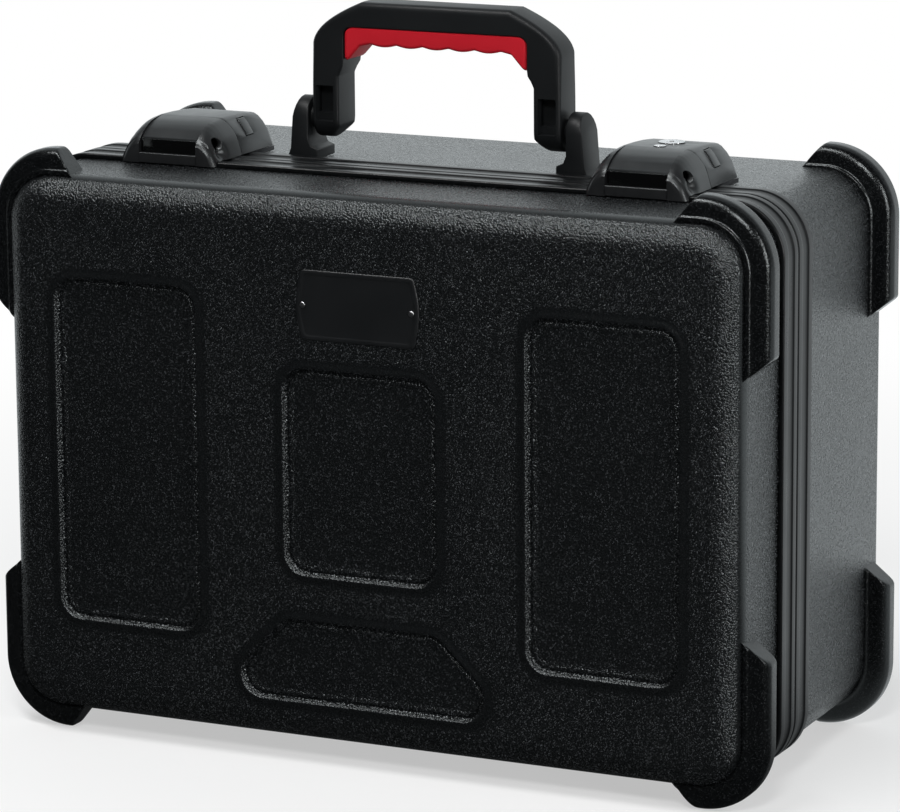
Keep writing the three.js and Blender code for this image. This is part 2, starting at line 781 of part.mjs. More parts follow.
// Bracket: an ear with an arched top, a foot turned inwards, a fillet and a boss for the pin
function handleBracket(side) {
  const inner = handleHalfWidth + earGap;
  const outer = inner + earThickness;
  const low = rimTop + fit;
  const high = pivotLevel + earRadius;
  const section = [
    [inner - footReach, low],
    [outer + earFlare, low],
    [outer + earFlare / 2, low + footHeight],
    [outer + earTopBevel / 2, pivotLevel],
    [outer - earTopBevel, high],
    [inner, high],
    [inner, low + footHeight + footFillet],
    [inner - footFillet * (1 - Math.SQRT1_2), low + footHeight + footFillet * (1 - Math.SQRT1_2)],
    [inner - footReach, low + footHeight],
  ].map(([x, z]) => [side * x, z]);
  const arch = [
    [pivotDepth + earRadius, low],
    ...arcPoints(pivotDepth, pivotLevel, earRadius, 0, Math.PI, roundSteps / 2),
    [pivotDepth - earRadius, low],
  ];
  const ear = alongY(section, pivotDepth - earRadius, pivotDepth + earRadius);
  const round = alongX(arch, side * (inner - footReach - overrun), side * (outer + earFlare + overrun));
  const boss = sideBar(side, handleHalfWidth + fit, inner + overrun, pivotDepth, pivotLevel, bossRadius);
  const near = handleHalfWidth - overrun;
  const far = inner + handlePinInEar + fit;
  const bore = sideBar(side, near, far, pivotDepth, pivotLevel, handlePinRadius + fit, smallSteps);
  return ear.intersect(round).add(boss).subtract(bore);
}

function handlePin(side) {
  const near = handleHalfWidth - handlePinInLeg;
  const far = handleHalfWidth + earGap + handlePinInEar;
  return sideBar(side, near, far, pivotDepth, pivotLevel, handlePinRadius, smallSteps);
}

// Height of the top of a latch above the valances, at a share of its length
function latchTopAt(share) {
  const next = Math.max(1, latchStations.findIndex(([along]) => along >= share));
  const [from, , low] = latchStations[next - 1];
  const [to, , high] = latchStations[next];
  return latchHeight * THREE.MathUtils.mapLinear(share, from, to, low, high);
}

const latchTopBehind = (setback) => latchTopAt((setback - latchFront) / latchLength);

// The body of a latch about its middle, made smaller by an inset
function latchBody(bottom, inset) {
  return solid(loft(latchStations.map(([along, wide, tall]) => {
    const half = wide * latchHalfWidth - inset;
    const top = tall * latchHeight - inset;
    const y = frontPlane + latchFront + along * latchLength;
    const section = latchSectionShares.map(([across, up]) => [across * half, up * top]);
    section[0][1] = bottom;
    return [...section, ...mirrorX(section)].map(([x, h]) => new THREE.Vector3(x, y, valanceTop + h));
  })));
}

// Blocks, bars and outlines about a latch: across it, behind the front plane, above the valances
const latchBlock = ([x0, d0, h0], [x1, d1, h1]) =>
  block([x0, frontPlane + d0, valanceTop + h0], [x1, frontPlane + d1, valanceTop + h1]);
const pivotBar = (half, radius, steps) =>
  bar("x", [-half, latchPivotDepth, latchPivotLevel], 2 * half, radius, steps);
const standingBar = (setback, from, to, radius) =>
  bar("z", [0, frontPlane + setback, valanceTop + from], to - from, radius);
const latchOutline = (points, half) =>
  alongX(points.map(([d, h]) => [frontPlane + d, valanceTop + h]), -half, half);

const latchBack = latchFront + latchLength;
const keeperTop = fit + keeperTongueThickness;
const wide = latchHalfWidth + overrun;
const tall = latchHeight + overrun;
const seamSteps = 2 * roundSteps;

// Housing on the lid: a hanging lip, two cheeks and a floor, open between the cheeks
function latchHousing() {
  const low = latchBlock([-wide, latchFront - overrun, -overrun], [wide, latchSeam - fit, latchPivotHeight]);
  const frontPart = low.add(pivotBar(wide, seamRadius, seamSteps));
  const lip = latchBlock(
    [-housingLipHalf, latchFront, -housingLipDrop],
    [housingLipHalf, latchFront + housingLip, latchShares[0][2] * latchHeight],
  );
  const slot = joined(
    latchBlock(
      [-noseHalfWidth - running, latchFront + noseInset - running, latchShares[1][2] * latchHeight],
      [noseHalfWidth + running, latchSeam + overrun, tall],
    ),
    latchBlock(
      [-noseHalfWidth - running, latchFront + housingLip + fit, -overrun],
      [noseHalfWidth + running, latchSeam - fit - housingFloorLength, latchPivotHeight],
    ),
    latchBlock(
      [-noseHalfWidth - running, latchPivotSetback, fit + housingFloor],
      [noseHalfWidth + running, latchSeam + overrun, tall],
    ),
    pivotBar(noseHalfWidth + running, noseRadius + running, seamSteps),
  );
  const ends = [-1, 1].map((side) => bar(
    "x",
    [side > 0 ? latchPinReach : -wide, latchPivotDepth, latchPivotLevel],
    wide - latchPinReach,
    latchBoreRadius,
  ));
  return latchBody(fit, 0)
    .intersect(frontPart)
    .add(lip)
    .subtract(slot)
    .subtract(pivotBar(wide, latchPinRadius + fit, smallSteps))
    .subtract(joined(...ends, latchScoop(-1), latchScoop(1)));
}

// The scoop below a pin: a wide half moon at its floor that narrows up to the bore
function latchScoop(side) {
  const ring = (height, [out, radius]) =>
    arcPoints(side * out, latchPivotDepth, radius, 0, 2 * Math.PI, smallSteps)
      .slice(1)
      .map(([x, y]) => new THREE.Vector3(x, y, valanceTop + height));
  return solid(loft([ring(scoopFloor, scoopLow), ring(latchPivotHeight, scoopHigh)]));
}

// The narrow front of a lever: nose, top and a round underside about the pin
function leverNose() {
  const top = [latchSeam + 2 * latchWall, latchSeam, ...latchStations
    .map(([along]) => latchFront + along * latchLength)
    .filter((d) => d > latchPivotSetback - fit && d < latchSeam - fit)
    .reverse(),
  ].map((d) => [d, latchTopBehind(d)]);
  const nose = latchFront + noseInset;
  const under = fit + housingFloor + running;
  const start = Math.atan2(noseLow - latchPivotHeight, nose - latchPivotSetback) + 2 * Math.PI;
  const end = Math.atan2(under - latchPivotHeight, noseSolid) + 2 * Math.PI;
  return latchOutline([
    ...top,
    [nose + noseChamfer, noseHeight + noseChamfer / 2],
    [nose, noseHeight],
    ...arcPoints(latchPivotSetback, latchPivotHeight, noseRadius, start, end, edgeSteps),
    [latchSeam + 2 * latchWall, under],
  ], noseHalfWidth);
}

// The hollow under a lever, clear of its solid nose
function leverHollow() {
  const from = latchSeam + latchWall + fit;
  const wideHollow = latchBody(-overrun, latchWall).intersect(
    latchBlock([-wide, from, -2 * overrun], [wide, latchBack - latchWall, tall]),
  );
  const start = latchPivotSetback + noseSolid;
  const depths = [start, ...latchStations
    .map(([along]) => latchFront + along * latchLength)
    .filter((d) => d > start && d < from), from + overrun];
  const narrowHollow = latchOutline([
    [start, -overrun],
    [from + overrun, -overrun],
    ...depths.reverse().map((d) => [d, latchTopBehind(d) - latchWall]),
  ], noseHalfWidth - latchWall);
  return wideHollow.add(narrowHollow);
}

// Lever: a hollow cap that turns about the pin, with its nose between the cheeks
function latchLever(locking) {
  const behindSeam = latchBlock([-wide, latchSeam + fit, -overrun], [wide, latchBack + overrun, tall])
    .add(latchBlock([-wide, latchPivotSetback, latchPivotHeight], [wide, latchBack, tall]))
    .subtract(pivotBar(wide + overrun, seamRadius + running, seamSteps));
  const low = latchBlock([-wide, latchPivotSetback, -overrun], [wide, latchSeam + fit, latchPivotHeight]);
  const shell = latchBody(fit + fit / 2, 0).intersect(behindSeam).subtract(low);
  const hook = latchOutline([
    [hookSetback, keeperTop + running],
    [hookSetback + hookThickness, keeperTop + running],
    [hookSetback + hookThickness, latchTopBehind(hookSetback) - latchWall + overrun],
    [hookSetback, latchTopBehind(hookSetback) - latchWall + overrun],
    [hookSetback, keeperTop + running + 2 * hookToe],
    [hookSetback - hookToe, keeperTop + running + hookToe],
    [hookSetback - hookToe, keeperTop + running],
  ], hookHalfWidth);
  let body = shell.add(leverNose()).subtract(leverHollow()).add(hook);
  body = body.subtract(pivotBar(wide, latchPinRadius + fit, smallSteps));
  for (const side of [-1, 1]) body = body.subtract(buttonHole(side));
  return locking ? leverForLock(body) : body;
}

// A lever with the boss of the lock and the hole of the indicator
function leverForLock(lever) {
  const roof = latchTopBehind(lockSetback);
  const around = lockRadius + fit + lockBossWall;
  const boss = standingBar(lockSetback, roof - lockBossDrop, roof - latchWall / 2, around);
  const hole = standingBar(lockSetback, roof - lockBossDrop - overrun, roof + overrun, lockRadius + fit);
  const spot = latchTopBehind(indicatorSetback);
  const small = standingBar(indicatorSetback, spot - 2 * latchWall, spot + overrun, indicatorRadius + fit);
  return lever.add(boss).subtract(hole).subtract(small);
}

function buttonHole(side) {
  return latchBlock(
    [side * (buttonInner - buttonTravel - fit - running), buttonSetback - running, buttonLow - running],
    [side * wide, buttonSetback + buttonLength + running, buttonHigh + running],
  );
}

// Button: a block with the slanted side of the latch as its face, and a flange inside
function latchButton(side) {
  const face = latchBody(-overrun, -buttonStand).intersect(latchBlock(
    [side * buttonInner, buttonSetback, buttonLow],
    [side * wide, buttonSetback + buttonLength, buttonHigh],
  ));
  const roof = latchTopBehind(buttonSetback) - latchWall - 2 * running;
  const flange = latchBlock(
    [side * (buttonInner - buttonFlangeThickness), buttonSetback - buttonFlange, buttonLow - buttonFlange],
    [side * buttonInner, buttonSetback + buttonLength + buttonFlange, Math.min(buttonHigh, roof)],
  );
  return face.add(flange);
}

function latchPin() {
  return pivotBar(latchPinReach, latchPinRadius, smallSteps);
}

// Keeper on the base: a foot plate behind the valance and a slotted tongue over it
function latchKeeper() {
  const front = valanceBack + running;
  const plate = latchBlock(
    [-latchHalfWidth, front, fit - valanceStand],
    [latchHalfWidth, latchBack, 0],
  );
  const root = latchBlock(
    [-keeperTongueHalf, front, fit - valanceStand],
    [keeperTongueHalf, front + keeperRoot, keeperTop],
  );
  const tongue = latchBlock(
    [-keeperTongueHalf, front - keeperTongue, fit],
    [keeperTongueHalf, front + overrun, keeperTop],
  );
  const slot = latchBlock(
    [-keeperSlotHalf, front - keeperTongue + keeperSlotInset, 0],
    [keeperSlotHalf, front - keeperTongue + keeperSlotInset + keeperSlotLength, keeperTop + overrun],
  );
  return joined(plate, root, tongue).subtract(slot);
}

// Lock: a cylinder with a key slot, and a cam under it
function lockCylinder() {
  const top = latchTopBehind(lockSetback) + lockStand;
  const low = top - lockLength;
  const body = standingBar(lockSetback, low, top, lockRadius);
  const cam = latchBlock(
    [-camHalfWidth, lockSetback - camReach, low - camThickness],
    [camHalfWidth, lockSetback + camHalfWidth, low + overrun],
  );
  const slot = latchBlock(
    [-keyThickness / 2, lockSetback - keyHalfWidth, top - keyDepth],
    [keyThickness / 2, lockSetback + keyHalfWidth, top + overrun],
  );
  const hole = standingBar(lockSetback, top - keyDepth, top + overrun, keyRadius);
  return body.add(cam).subtract(slot).subtract(hole);
}

function lockIndicator() {
  const top = latchTopBehind(indicatorSetback) + indicatorStand;
  return standingBar(indicatorSetback, top - indicatorLength, top, indicatorRadius);
}

// One leaf of a hinge under the case: a plate with the knuckles that lie on its side
function hingeLeaf(facing) {
  const near = knuckleRadius + running;
  const level = (above) => leafTop - above;
  let leaf = block(
    [-hingeHalfWidth, hingeDepth + facing * near, level(leafThickness)],
    [hingeHalfWidth, hingeDepth + facing * leafReach, level(0)],
  );
  for (let i = 0; i + 1 < knuckleShares.length; i++) {
    const mine = i % 2 === 0 ? facing > 0 : facing < 0;
    if (!mine) continue;
    const from = knuckleShares[i] * hingeHalfWidth + (i > 0 ? running / 2 : 0);
    const to = knuckleShares[i + 1] * hingeHalfWidth - (i + 2 < knuckleShares.length ? running / 2 : 0);
    const arm = block(
      [from, hingeDepth, level(leafThickness)],
      [to, hingeDepth + facing * (near + overrun), level(fit / 2)],
    );
    const knuckle = bar("x", [from, hingeDepth, hingeLevel], to - from, knuckleRadius, smallSteps);
    leaf = leaf.add(arm).add(knuckle);
  }
  return leaf.subtract(hingeBore());
}

function hingeBore() {
  const reach = hingeHalfWidth + overrun;
  return bar("x", [-reach, hingeDepth, hingeLevel], 2 * reach, hingePinRadius + fit, smallSteps);
}

function hingePin() {
  return bar("x", [-hingeHalfWidth, hingeDepth, hingeLevel], 2 * hingeHalfWidth, hingePinRadius, smallSteps);
}

// The space for foam in the base, between two depths
function foamBlock(from, to) {
  return rimBlock([[-foamInset, from], [-foamInset, to]]);
}

// One row of the insert: a long block with round drops for microphones
function foamRow(row) {
  const front = frontPlane + parting + foamSet;
  const back = frontPlane + foamBack - floorPad - fit;
  const height = (2 * (rimHalfHeight - foamInset)) / dropRows;
  const low = caseMiddle - rimHalfHeight + foamInset + row * height;
  const left = -rimHalfWidth + foamInset;
  const length = dropColumns * dropPitch;
  const strip = block([left, front, low + fit / 2], [left + length, back, low + height - fit / 2]);
  const drops = Array.from({ length: dropColumns }, (_, i) => bar(
    "y",
    [left + (i + 0.5) * dropPitch, front - overrun, low + height / 2],
    back - front + 2 * overrun,
    dropRadius,
    dropSteps,
  ));
  const space = foamBlock(parting + foamSet, foamBack - floorPad - fit);
  return strip.intersect(space).subtract(joined(...drops));
}

function foamFloor() {
  return foamBlock(foamBack - floorPad, foamBack);
}

// Lid foam: a thick pad with bevelled edges at the front
function lidFoam() {
  const front = recessDepth + shellWall + foamGap;
  return rimBlock([
    [-foamInset - lidFoamBevel, front],
    [-foamInset, front + lidFoamBevel],
    [-foamInset, front + lidFoamDepth],
  ]);
}

const part = new THREE.Group();
part.name = "microphone_case";

function add(name, shape, material) {
  const mesh = new THREE.Mesh(geometryOf(shape), material.clone());
  mesh.name = name;
  part.add(mesh);
}

add("base_shell", baseShell(), shellBlack);
add("base_valance", baseValance(), valanceBlack);
add("lid_shell", lidShell(), shellBlack);
add("lid_valance", lidValance(), valanceBlack);
add("gasket", gasket(), sealBlack);
add("badge_plate", badgePlate(), badgeBlack);
add("handle_frame", handleFrame(), handleBlack);
add("handle_grip", handleGrip(), gripRed);

for (const [name, side] of [["left", -1], ["right", 1]]) {
  add(`badge_rivet_${name}`, badgeRivet(side), steel);
  add(`handle_bracket_${name}`, handleBracket(side), handleBlack);
  add(`handle_pin_${name}`, handlePin(side), steel);

  const atLatch = (shape) => shape.translate([side * latchSpacing, 0, 0]);
  add(`latch_${name}_housing`, atLatch(latchHousing()), latchBlack);
  add(`latch_${name}_lever`, atLatch(latchLever(side > 0)), latchBlack);
  add(`latch_${name}_pin`, atLatch(latchPin()), darkSteel);
  add(`latch_${name}_keeper`, atLatch(latchKeeper()), darkSteel);
  add(`latch_${name}_button_inner`, atLatch(latchButton(-side)), latchBlack);
  add(`latch_${name}_button_outer`, atLatch(latchButton(side)), latchBlack);

  const atHinge = (shape) => shape.translate([side * hingeSpacing, 0, 0]);
  add(`hinge_${name}_lid_leaf`, atHinge(hingeLeaf(-1)), darkSteel);
  add(`hinge_${name}_base_leaf`, atHinge(hingeLeaf(1)), darkSteel);
  add(`hinge_${name}_pin`, atHinge(hingePin()), steel);
}
add("lock_cylinder", lockCylinder().translate([latchSpacing, 0, 0]), steel);
add("lock_indicator", lockIndicator().translate([latchSpacing, 0, 0]), darkSteel);

for (let row = 0; row < dropRows; row++) {
  add(`foam_row_${row + 1}`, foamRow(row), foamGrey);
}
add("foam_floor", foamFloor(), foamGrey);
add("lid_foam", lidFoam(), foamGrey);

export default part;
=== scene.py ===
import math
import bmesh
import bpy
import numpy as np
from mathutils import Matrix, Vector


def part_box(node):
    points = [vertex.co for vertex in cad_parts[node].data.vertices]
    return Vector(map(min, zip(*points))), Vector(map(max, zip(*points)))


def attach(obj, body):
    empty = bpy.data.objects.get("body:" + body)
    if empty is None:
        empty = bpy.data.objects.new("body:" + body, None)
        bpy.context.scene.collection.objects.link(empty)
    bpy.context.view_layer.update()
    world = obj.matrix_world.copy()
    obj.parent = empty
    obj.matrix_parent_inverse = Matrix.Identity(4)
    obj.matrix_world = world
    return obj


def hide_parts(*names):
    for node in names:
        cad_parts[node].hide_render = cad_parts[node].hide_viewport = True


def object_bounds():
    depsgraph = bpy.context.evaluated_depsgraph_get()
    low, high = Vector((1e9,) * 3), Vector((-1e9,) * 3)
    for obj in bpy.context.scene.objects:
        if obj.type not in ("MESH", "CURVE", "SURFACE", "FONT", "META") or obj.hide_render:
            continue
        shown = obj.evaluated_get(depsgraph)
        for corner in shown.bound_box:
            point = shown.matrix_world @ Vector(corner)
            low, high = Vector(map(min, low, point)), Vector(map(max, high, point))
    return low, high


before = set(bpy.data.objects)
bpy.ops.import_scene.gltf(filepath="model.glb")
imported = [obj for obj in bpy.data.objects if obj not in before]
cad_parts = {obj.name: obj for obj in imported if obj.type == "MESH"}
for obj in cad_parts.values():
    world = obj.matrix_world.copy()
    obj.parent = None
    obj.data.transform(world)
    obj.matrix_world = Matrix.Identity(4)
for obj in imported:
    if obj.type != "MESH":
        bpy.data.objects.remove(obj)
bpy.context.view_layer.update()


# Camera.
# It stands to the right of the lid and a little above it, and looks through a long lens. The floor and
# the light follow at the end.
mm = 0.001
camera_place = (1.2244, -2.5560, 0.8270)
camera_turn, camera_dip, camera_roll = 25.51, 12.37, -0.43
camera_data = bpy.data.cameras.new("camera")
camera_data.sensor_width = 36
camera_data.lens = 186.68
camera_data.clip_end = 100
camera = bpy.data.objects.new("camera", camera_data)
bpy.context.collection.objects.link(camera)
bpy.context.scene.camera = camera
camera.matrix_world = (
    Matrix.Translation(camera_place)
    @ Matrix.Rotation(math.radians(camera_turn), 4, "Z")
    @ Matrix.Rotation(math.radians(90 - camera_dip), 4, "X")
    @ Matrix.Rotation(math.radians(camera_roll), 4, "Z")
)


# Lid shell.
# A tray of black polyethylene, drawn over a mould, with a broad round front edge and sides with a little
# draft. Each of its four recessed panels has a low bead round it and a crease at the foot of its wall.
shell_low, shell_high = np.array(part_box("lid_shell"))
front = shell_low[1]
middle = (shell_low[2] + shell_high[2]) / 2
bumper_stand = 12.6 * mm
rim_half = np.array([shell_high[0], shell_high[2] - middle]) - bumper_stand
corner_radius = 31 * mm
shell_draft = 1.8 * mm
shell_wall = 3 * mm
lid_edge = 18 * mm
lid_cap = 7.4 * mm
cap_step = 1 * mm
lid_flat = rim_half - shell_draft - lid_edge
lid_step, wall_step = 4 * mm, 0.8 * mm
corner_ease = 15 * mm
face_reach = 3 * mm
side_flare = np.array([-1.64, 3.5]) * mm
valance_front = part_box("lid_valance")[0][1] - front
lid_channel = 15 * mm
shell_black = (0.003, 0.0034, 0.0038)
sheet_shine = (0.93, 0.99, 1.0)
grain_size, grain_depth = 1.15 * mm, 0.45 * mm
panel_radius = 14 * mm
panel_depth = 3.2 * mm
panel_rise = 1.2 * mm
bead = 1.0 * mm
bead_span = np.array([-5.5, -1.2]) * mm
wall_span = np.array([-1.0, 1.2]) * mm
rise_span = np.array([1.1, 3]) * mm
sink_span = np.array([3.2, 6.5]) * mm
polished_span, grained_span = np.array([-8, -5.5]) * mm, np.array([-1.4, -0.4]) * mm
floor_span = np.array([4, 8]) * mm
edge_spans = (0.15, 0.3), (0.55, 0.72)
side_panel = np.array([[110.5, -107.4], [207.5, -107.4], [207.5, 107.4], [110.5, 107.4]]) * mm
middle_panel = np.array([[-50.5, -63.5], [50.5, -63.5], [50.5, 63.5], [-50.5, 63.5]]) * mm
low_panel = np.array([[77, -143.5], [84, -125], [50.5, -93]]) * mm
low_panel = np.concatenate([low_panel[:1] * [-1, 1], low_panel, low_panel[:0:-1] * [-1, 1]])
panels = [side_panel, side_panel[::-1] * [-1, 1], middle_panel, low_panel]


class Shade:
    """One socket of a finish. Sums, differences, products and powers of it add Math nodes."""

    def __init__(self, finish, socket):
        self.finish, self.socket = finish, socket

    def maths(self, operation, *others, turned=False):
        """The Math node of an operation, with this socket first, or last when turned."""
        values = (*others, self) if turned else (self, *others)
        return self.finish.node("ShaderNodeMath", {"operation": operation}, dict(enumerate(values)))

    def __add__(self, other):
        return self.maths("ADD", other)

    def __mul__(self, other):
        return self.maths("MULTIPLY", other)

    def __sub__(self, other):
        return self.maths("SUBTRACT", other)

    def __rsub__(self, other):
        return self.maths("SUBTRACT", other, turned=True)

    def __pow__(self, other):
        return self.maths("POWER", other)

    __radd__, __rmul__ = __add__, __mul__

    def step(self, low, high):
        """0 up to low, 1 from high on, and a smooth step between them."""
        settings = {"interpolation_type": "SMOOTHSTEP"}
        return self.finish.node("ShaderNodeMapRange", settings, {0: self, 1: low, 2: high})


class Finish:
    """A procedural material: a shader whose sockets take numbers, colours or Shades."""

    def __init__(self, name, owner=None, shader="Principled BSDF", place="Object", **values):
        self.material = owner or bpy.data.materials.new(name)
        self.material.use_nodes = True
        self.tree = self.material.node_tree
        self.shader = self.tree.nodes[shader]
        self.place = self.node("ShaderNodeTexCoord", {}, {}, place)
        self.set(**values)

    def set(self, **values):
        """Sockets of the shader by their names, with _ for a space."""
        for name, value in values.items():
            self.feed(self.shader.inputs[name.replace("_", " ")], value)

    def feed(self, target, value):
        """A link from a Shade, a colour from its three shares, or any other value as it is."""
        if isinstance(value, Shade):
            self.tree.links.new(value.socket, target)
        elif isinstance(value, tuple) and len(value) == 3 and len(target.default_value) == 4:
            target.default_value = (*value, 1)
        else:
            target.default_value = value

    def node(self, kind, settings, values, output=0):
        """Any node: its settings first, then the numbers, colours or Shades of its sockets."""
        made = self.tree.nodes.new(kind)
        for name, value in settings.items():
            setattr(made, name, value)
        for name, value in values.items():
            self.feed(made.inputs[name], value)
        return Shade(self, made.outputs[output])

    def drawn(self, x, y, z, centre=(0, 0, 0)):
        """Object coordinates from a centre, in which a pattern comes out longer by these factors."""
        values = {"Vector": self.place, "Location": centre, "Scale": (x, y, z)}
        return self.node("ShaderNodeMapping", {"vector_type": "TEXTURE"}, values)

    def noise(self, size, detail=2.0, rough=0.5, at=None):
        """Cloudy noise from 0 to 1 with features of about that size in metres."""
        values = {"Vector": at or self.place, "Scale": 1 / size, "Detail": detail, "Roughness": rough}
        return self.node("ShaderNodeTexNoise", {}, values)

    def cells(self, size):
        """Distance to the nearest of points scattered about that far apart, as a share of it."""
        return self.node("ShaderNodeTexVoronoi", {}, {"Vector": self.place, "Scale": 1 / size})

    def attribute(self, name):
        """The values that a piece carries at its points."""
        return self.node("ShaderNodeAttribute", {"attribute_name": name}, {}, "Fac")

    def length(self, at):
        """How far a place is from the origin of its coordinates."""
        return self.node("ShaderNodeVectorMath", {"operation": "LENGTH"}, {0: at}, "Value")

    def along(self, axis):
        """One object coordinate, in metres."""
        return self.node("ShaderNodeSeparateXYZ", {}, {0: self.place}, axis)

    def mixed(self, share, first, second):
        """A colour between two colours."""
        return self.node("ShaderNodeMix", {"data_type": "RGBA"}, {0: share, 6: first, 7: second}, 2)

    def relief(self, height, depth, strength=1.0):
        """A normal bent by a height from 0 to 1 that stands for that depth in metres."""
        return self.node("ShaderNodeBump", {}, {"Height": height, "Distance": depth, "Strength": strength})

    def on(self, thing):
        """The finish of a piece."""
        thing.data.materials.clear()
        thing.data.materials.append(self.material)


def pebbled(name):
    """Moulded polyethylene: a field of domes, 1 - d^2 of the distance d to the nearest of scattered
    points, with painted glints, pale dots on the tops of some of them that stand in for highlights and
    are paler on the sides, and a gloss that drifts from place to place and is duller in the hollows.
    Where the sheet was drawn thin over an edge, its polish attribute takes the grain and the painted
    glints away, and its side attribute says how much of a side a place is, which sets how pale they are."""
    skin = Finish(name, IOR=1.6, Specular_Tint=sheet_shine)
    reach = skin.cells(grain_size)
    fine = skin.noise(grain_size * 1.7, 2, 0.6)
    drift = skin.noise(70 * mm, 3)
    grained = 1 - skin.attribute("polish")
    # Painted glints: pale dots on the tops of some domes that stand in for highlights.
    painted_glints = (1 - reach.step(0.18, 0.42)) * fine.step(0.36, 0.66) * (drift * 0.6 + 0.7) * grained
    # The painted glints are paler on the sides and the top, where more light falls on them.
    glint_colour = skin.mixed(skin.attribute("side"), (0.064, 0.068, 0.073), (0.13, 0.14, 0.15))
    skin.set(Base_Color=skin.mixed(painted_glints, shell_black, glint_colour))
    skin.set(Roughness=(drift - 0.5) * 0.1 + (0.5 - fine) * 0.3 + reach * 0.16 + 0.16)
    skin.set(Normal=skin.relief(1 - reach ** 2 + fine * 0.5, grain_depth, strength=grained))
    return skin


def spaced(half, wide, fine=(), close=wall_step, samples=6001):
    """Places from -half to half: close together within reach of each (centre, reach), and wide apart
    elsewhere. They are equal steps of the running sum of 1 / spacing."""
    x = np.linspace(-half, half, samples)
    density = np.full(samples, 1 / wide)
    for centre, reach in fine:
        density[np.abs(x - centre) < reach] = 1 / close
    count = np.append(0, np.cumsum((density[1:] + density[:-1]) / 2 * np.diff(x)))
    return np.interp(np.linspace(0, count[-1], int(count[-1]) + 1), count, x)


def fitted_grid(xs, zs, radius, reach):
    """A grid over a rectangle whose border follows its round corners. A border point within reach of a
    corner is spread evenly over the straight run and the quarter circle there, and the points inside
    follow the border by a Coons patch that fades out at the same reach."""
    x, z = np.meshgrid(xs, zs, indexing="ij")
    u, v = xs[-1] - np.abs(x), zs[-1] - np.abs(z)

    def shift(distance):
        """How far a border point at a distance from the corner moves along its side and across it."""
        along = np.clip(reach - distance, 0, None) * (reach - radius + radius * math.pi / 4) / reach
        angle = np.clip(along - (reach - radius), 0, None) / radius
        run = np.minimum(along, reach - radius) + radius * np.sin(angle)
        return run - np.clip(reach - distance, 0, None), radius * (np.cos(angle) - 1)

    top_along, top_across = shift(u)
    side_along, side_across = shift(v)
    corner_across = shift(np.zeros(1))[1]
    by_top, by_side = np.clip(1 - v / reach, 0, 1), np.clip(1 - u / reach, 0, 1)
    x_shift = top_along * by_top + side_across * by_side - corner_across * by_top * by_side
    z_shift = top_across * by_top + side_along * by_side - corner_across * by_top * by_side
    return x + np.sign(x) * x_shift, z + np.sign(z) * z_shift


def from_edge(x, z, corners):
    """Signed distance to a convex polygon listed anticlockwise from the front, negative inside: the
    greatest distance past a side when inside, and the least distance to a side when outside."""
    inside, outside = np.full(x.shape, -1.0), np.full(x.shape, 1.0)
    for start, end in zip(corners, np.roll(corners, -1, axis=0)):
        length = np.linalg.norm(end - start)
        way = (end - start) / length
        side = (x - start[0]) * way[1] - (z - start[1]) * way[0]
        along = np.clip((x - start[0]) * way[0] + (z - start[1]) * way[1], 0, length)
        reach = np.hypot(x - start[0] - along * way[0], z - start[1] - along * way[1])
        inside, outside = np.maximum(inside, side), np.minimum(outside, reach)
    return np.where(inside < 0, inside, outside)


def drawn_in(corners, amount):
    """A convex polygon with each side moved inwards: a corner moves along the sum of the two
    directions of its sides, divided by the sine of the angle between them."""
    before, after = np.roll(corners, 1, axis=0) - corners, np.roll(corners, -1, axis=0) - corners
    before, after = (way / np.linalg.norm(way, axis=1)[:, None] for way in (before, after))
    sine = np.abs(before[:, 0] * after[:, 1] - before[:, 1] * after[:, 0])
    return corners + (before + after) * (amount / sine)[:, None]


def smooth(x, low, high):
    """A smooth step from 0 at low to 1 at high."""
    t = np.clip((x - low) / (high - low), 0, 1)
    return t * t * (3 - 2 * t)


def into_a_panel(x, z):
    """Distance into the nearest panel, negative outside it. A panel is a polygon drawn in by the radius
    of its corners, and all that is within that radius of it."""
    away = [from_edge(x, z, drawn_in(corners, panel_radius)) for corners in panels]
    return panel_radius - np.min(away, axis=0)


def panel_dip(x, z):
    """Depth of the lid's face: a low bead rises round each panel by a smooth step, the wall falls by a
    steeper one, and the floor comes back by a third and sinks by half of that by a fourth, which leaves
    a crease at the foot of the wall and a soft swelling inside it."""
    inward = into_a_panel(x, z)
    wall = (panel_depth + bead) * smooth(inward, *wall_span)
    swelling = smooth(inward, *rise_span) - 0.5 * smooth(inward, *sink_span)
    return wall - bead * smooth(inward, *bead_span) - panel_rise * swelling


def grid_faces(rows, columns, ring=True, endless=False):
    """The four-cornered faces between rows of points, of which each row or the set may close."""
    r = np.arange(rows if endless else rows - 1)[:, None]
    c = np.arange(columns if ring else columns - 1)[None, :]
    up, right = (r + 1) % rows, (c + 1) % columns
    corners = [r * columns + c, r * columns + right, up * columns + right, up * columns + c]
    return np.stack(corners, -1).reshape(-1, 4)


def placed(name, mesh, body, finish, stands_for=()):
    """A smooth piece of a mesh, with its finish, its body and the nodes that it stands for."""
    mesh.polygons.foreach_set("use_smooth", np.ones(len(mesh.polygons), dtype=bool))
    thing = bpy.data.objects.new(name, mesh)
    bpy.context.collection.objects.link(thing)
    finish.on(thing)
    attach(thing, body)
    if stands_for:
        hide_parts(*stands_for)
    return thing


def made(name, body, slot, finish, points, faces, caps=(), stands_for=(), **attributes):
    """A piece from arrays of points and four-cornered faces, a few larger caps, and the values of its
    attributes at the points, with its doubles merged and its faces turned outwards."""
    mesh = bpy.data.meshes.new(name)
    mesh.from_pydata(points.reshape(-1, 3).tolist(), [], faces.tolist() + list(caps))
    for key, values in attributes.items():
        mesh.attributes.new(key, "FLOAT", "POINT").data.foreach_set("value", values)
    bm = bmesh.new()
    bm.from_mesh(mesh)
    bmesh.ops.remove_doubles(bm, verts=bm.verts, dist=1e-6)
    bmesh.ops.recalc_face_normals(bm, faces=bm.faces)
    bm.to_mesh(mesh)
    bm.free()
    return placed(name, mesh, body, finish, stands_for)


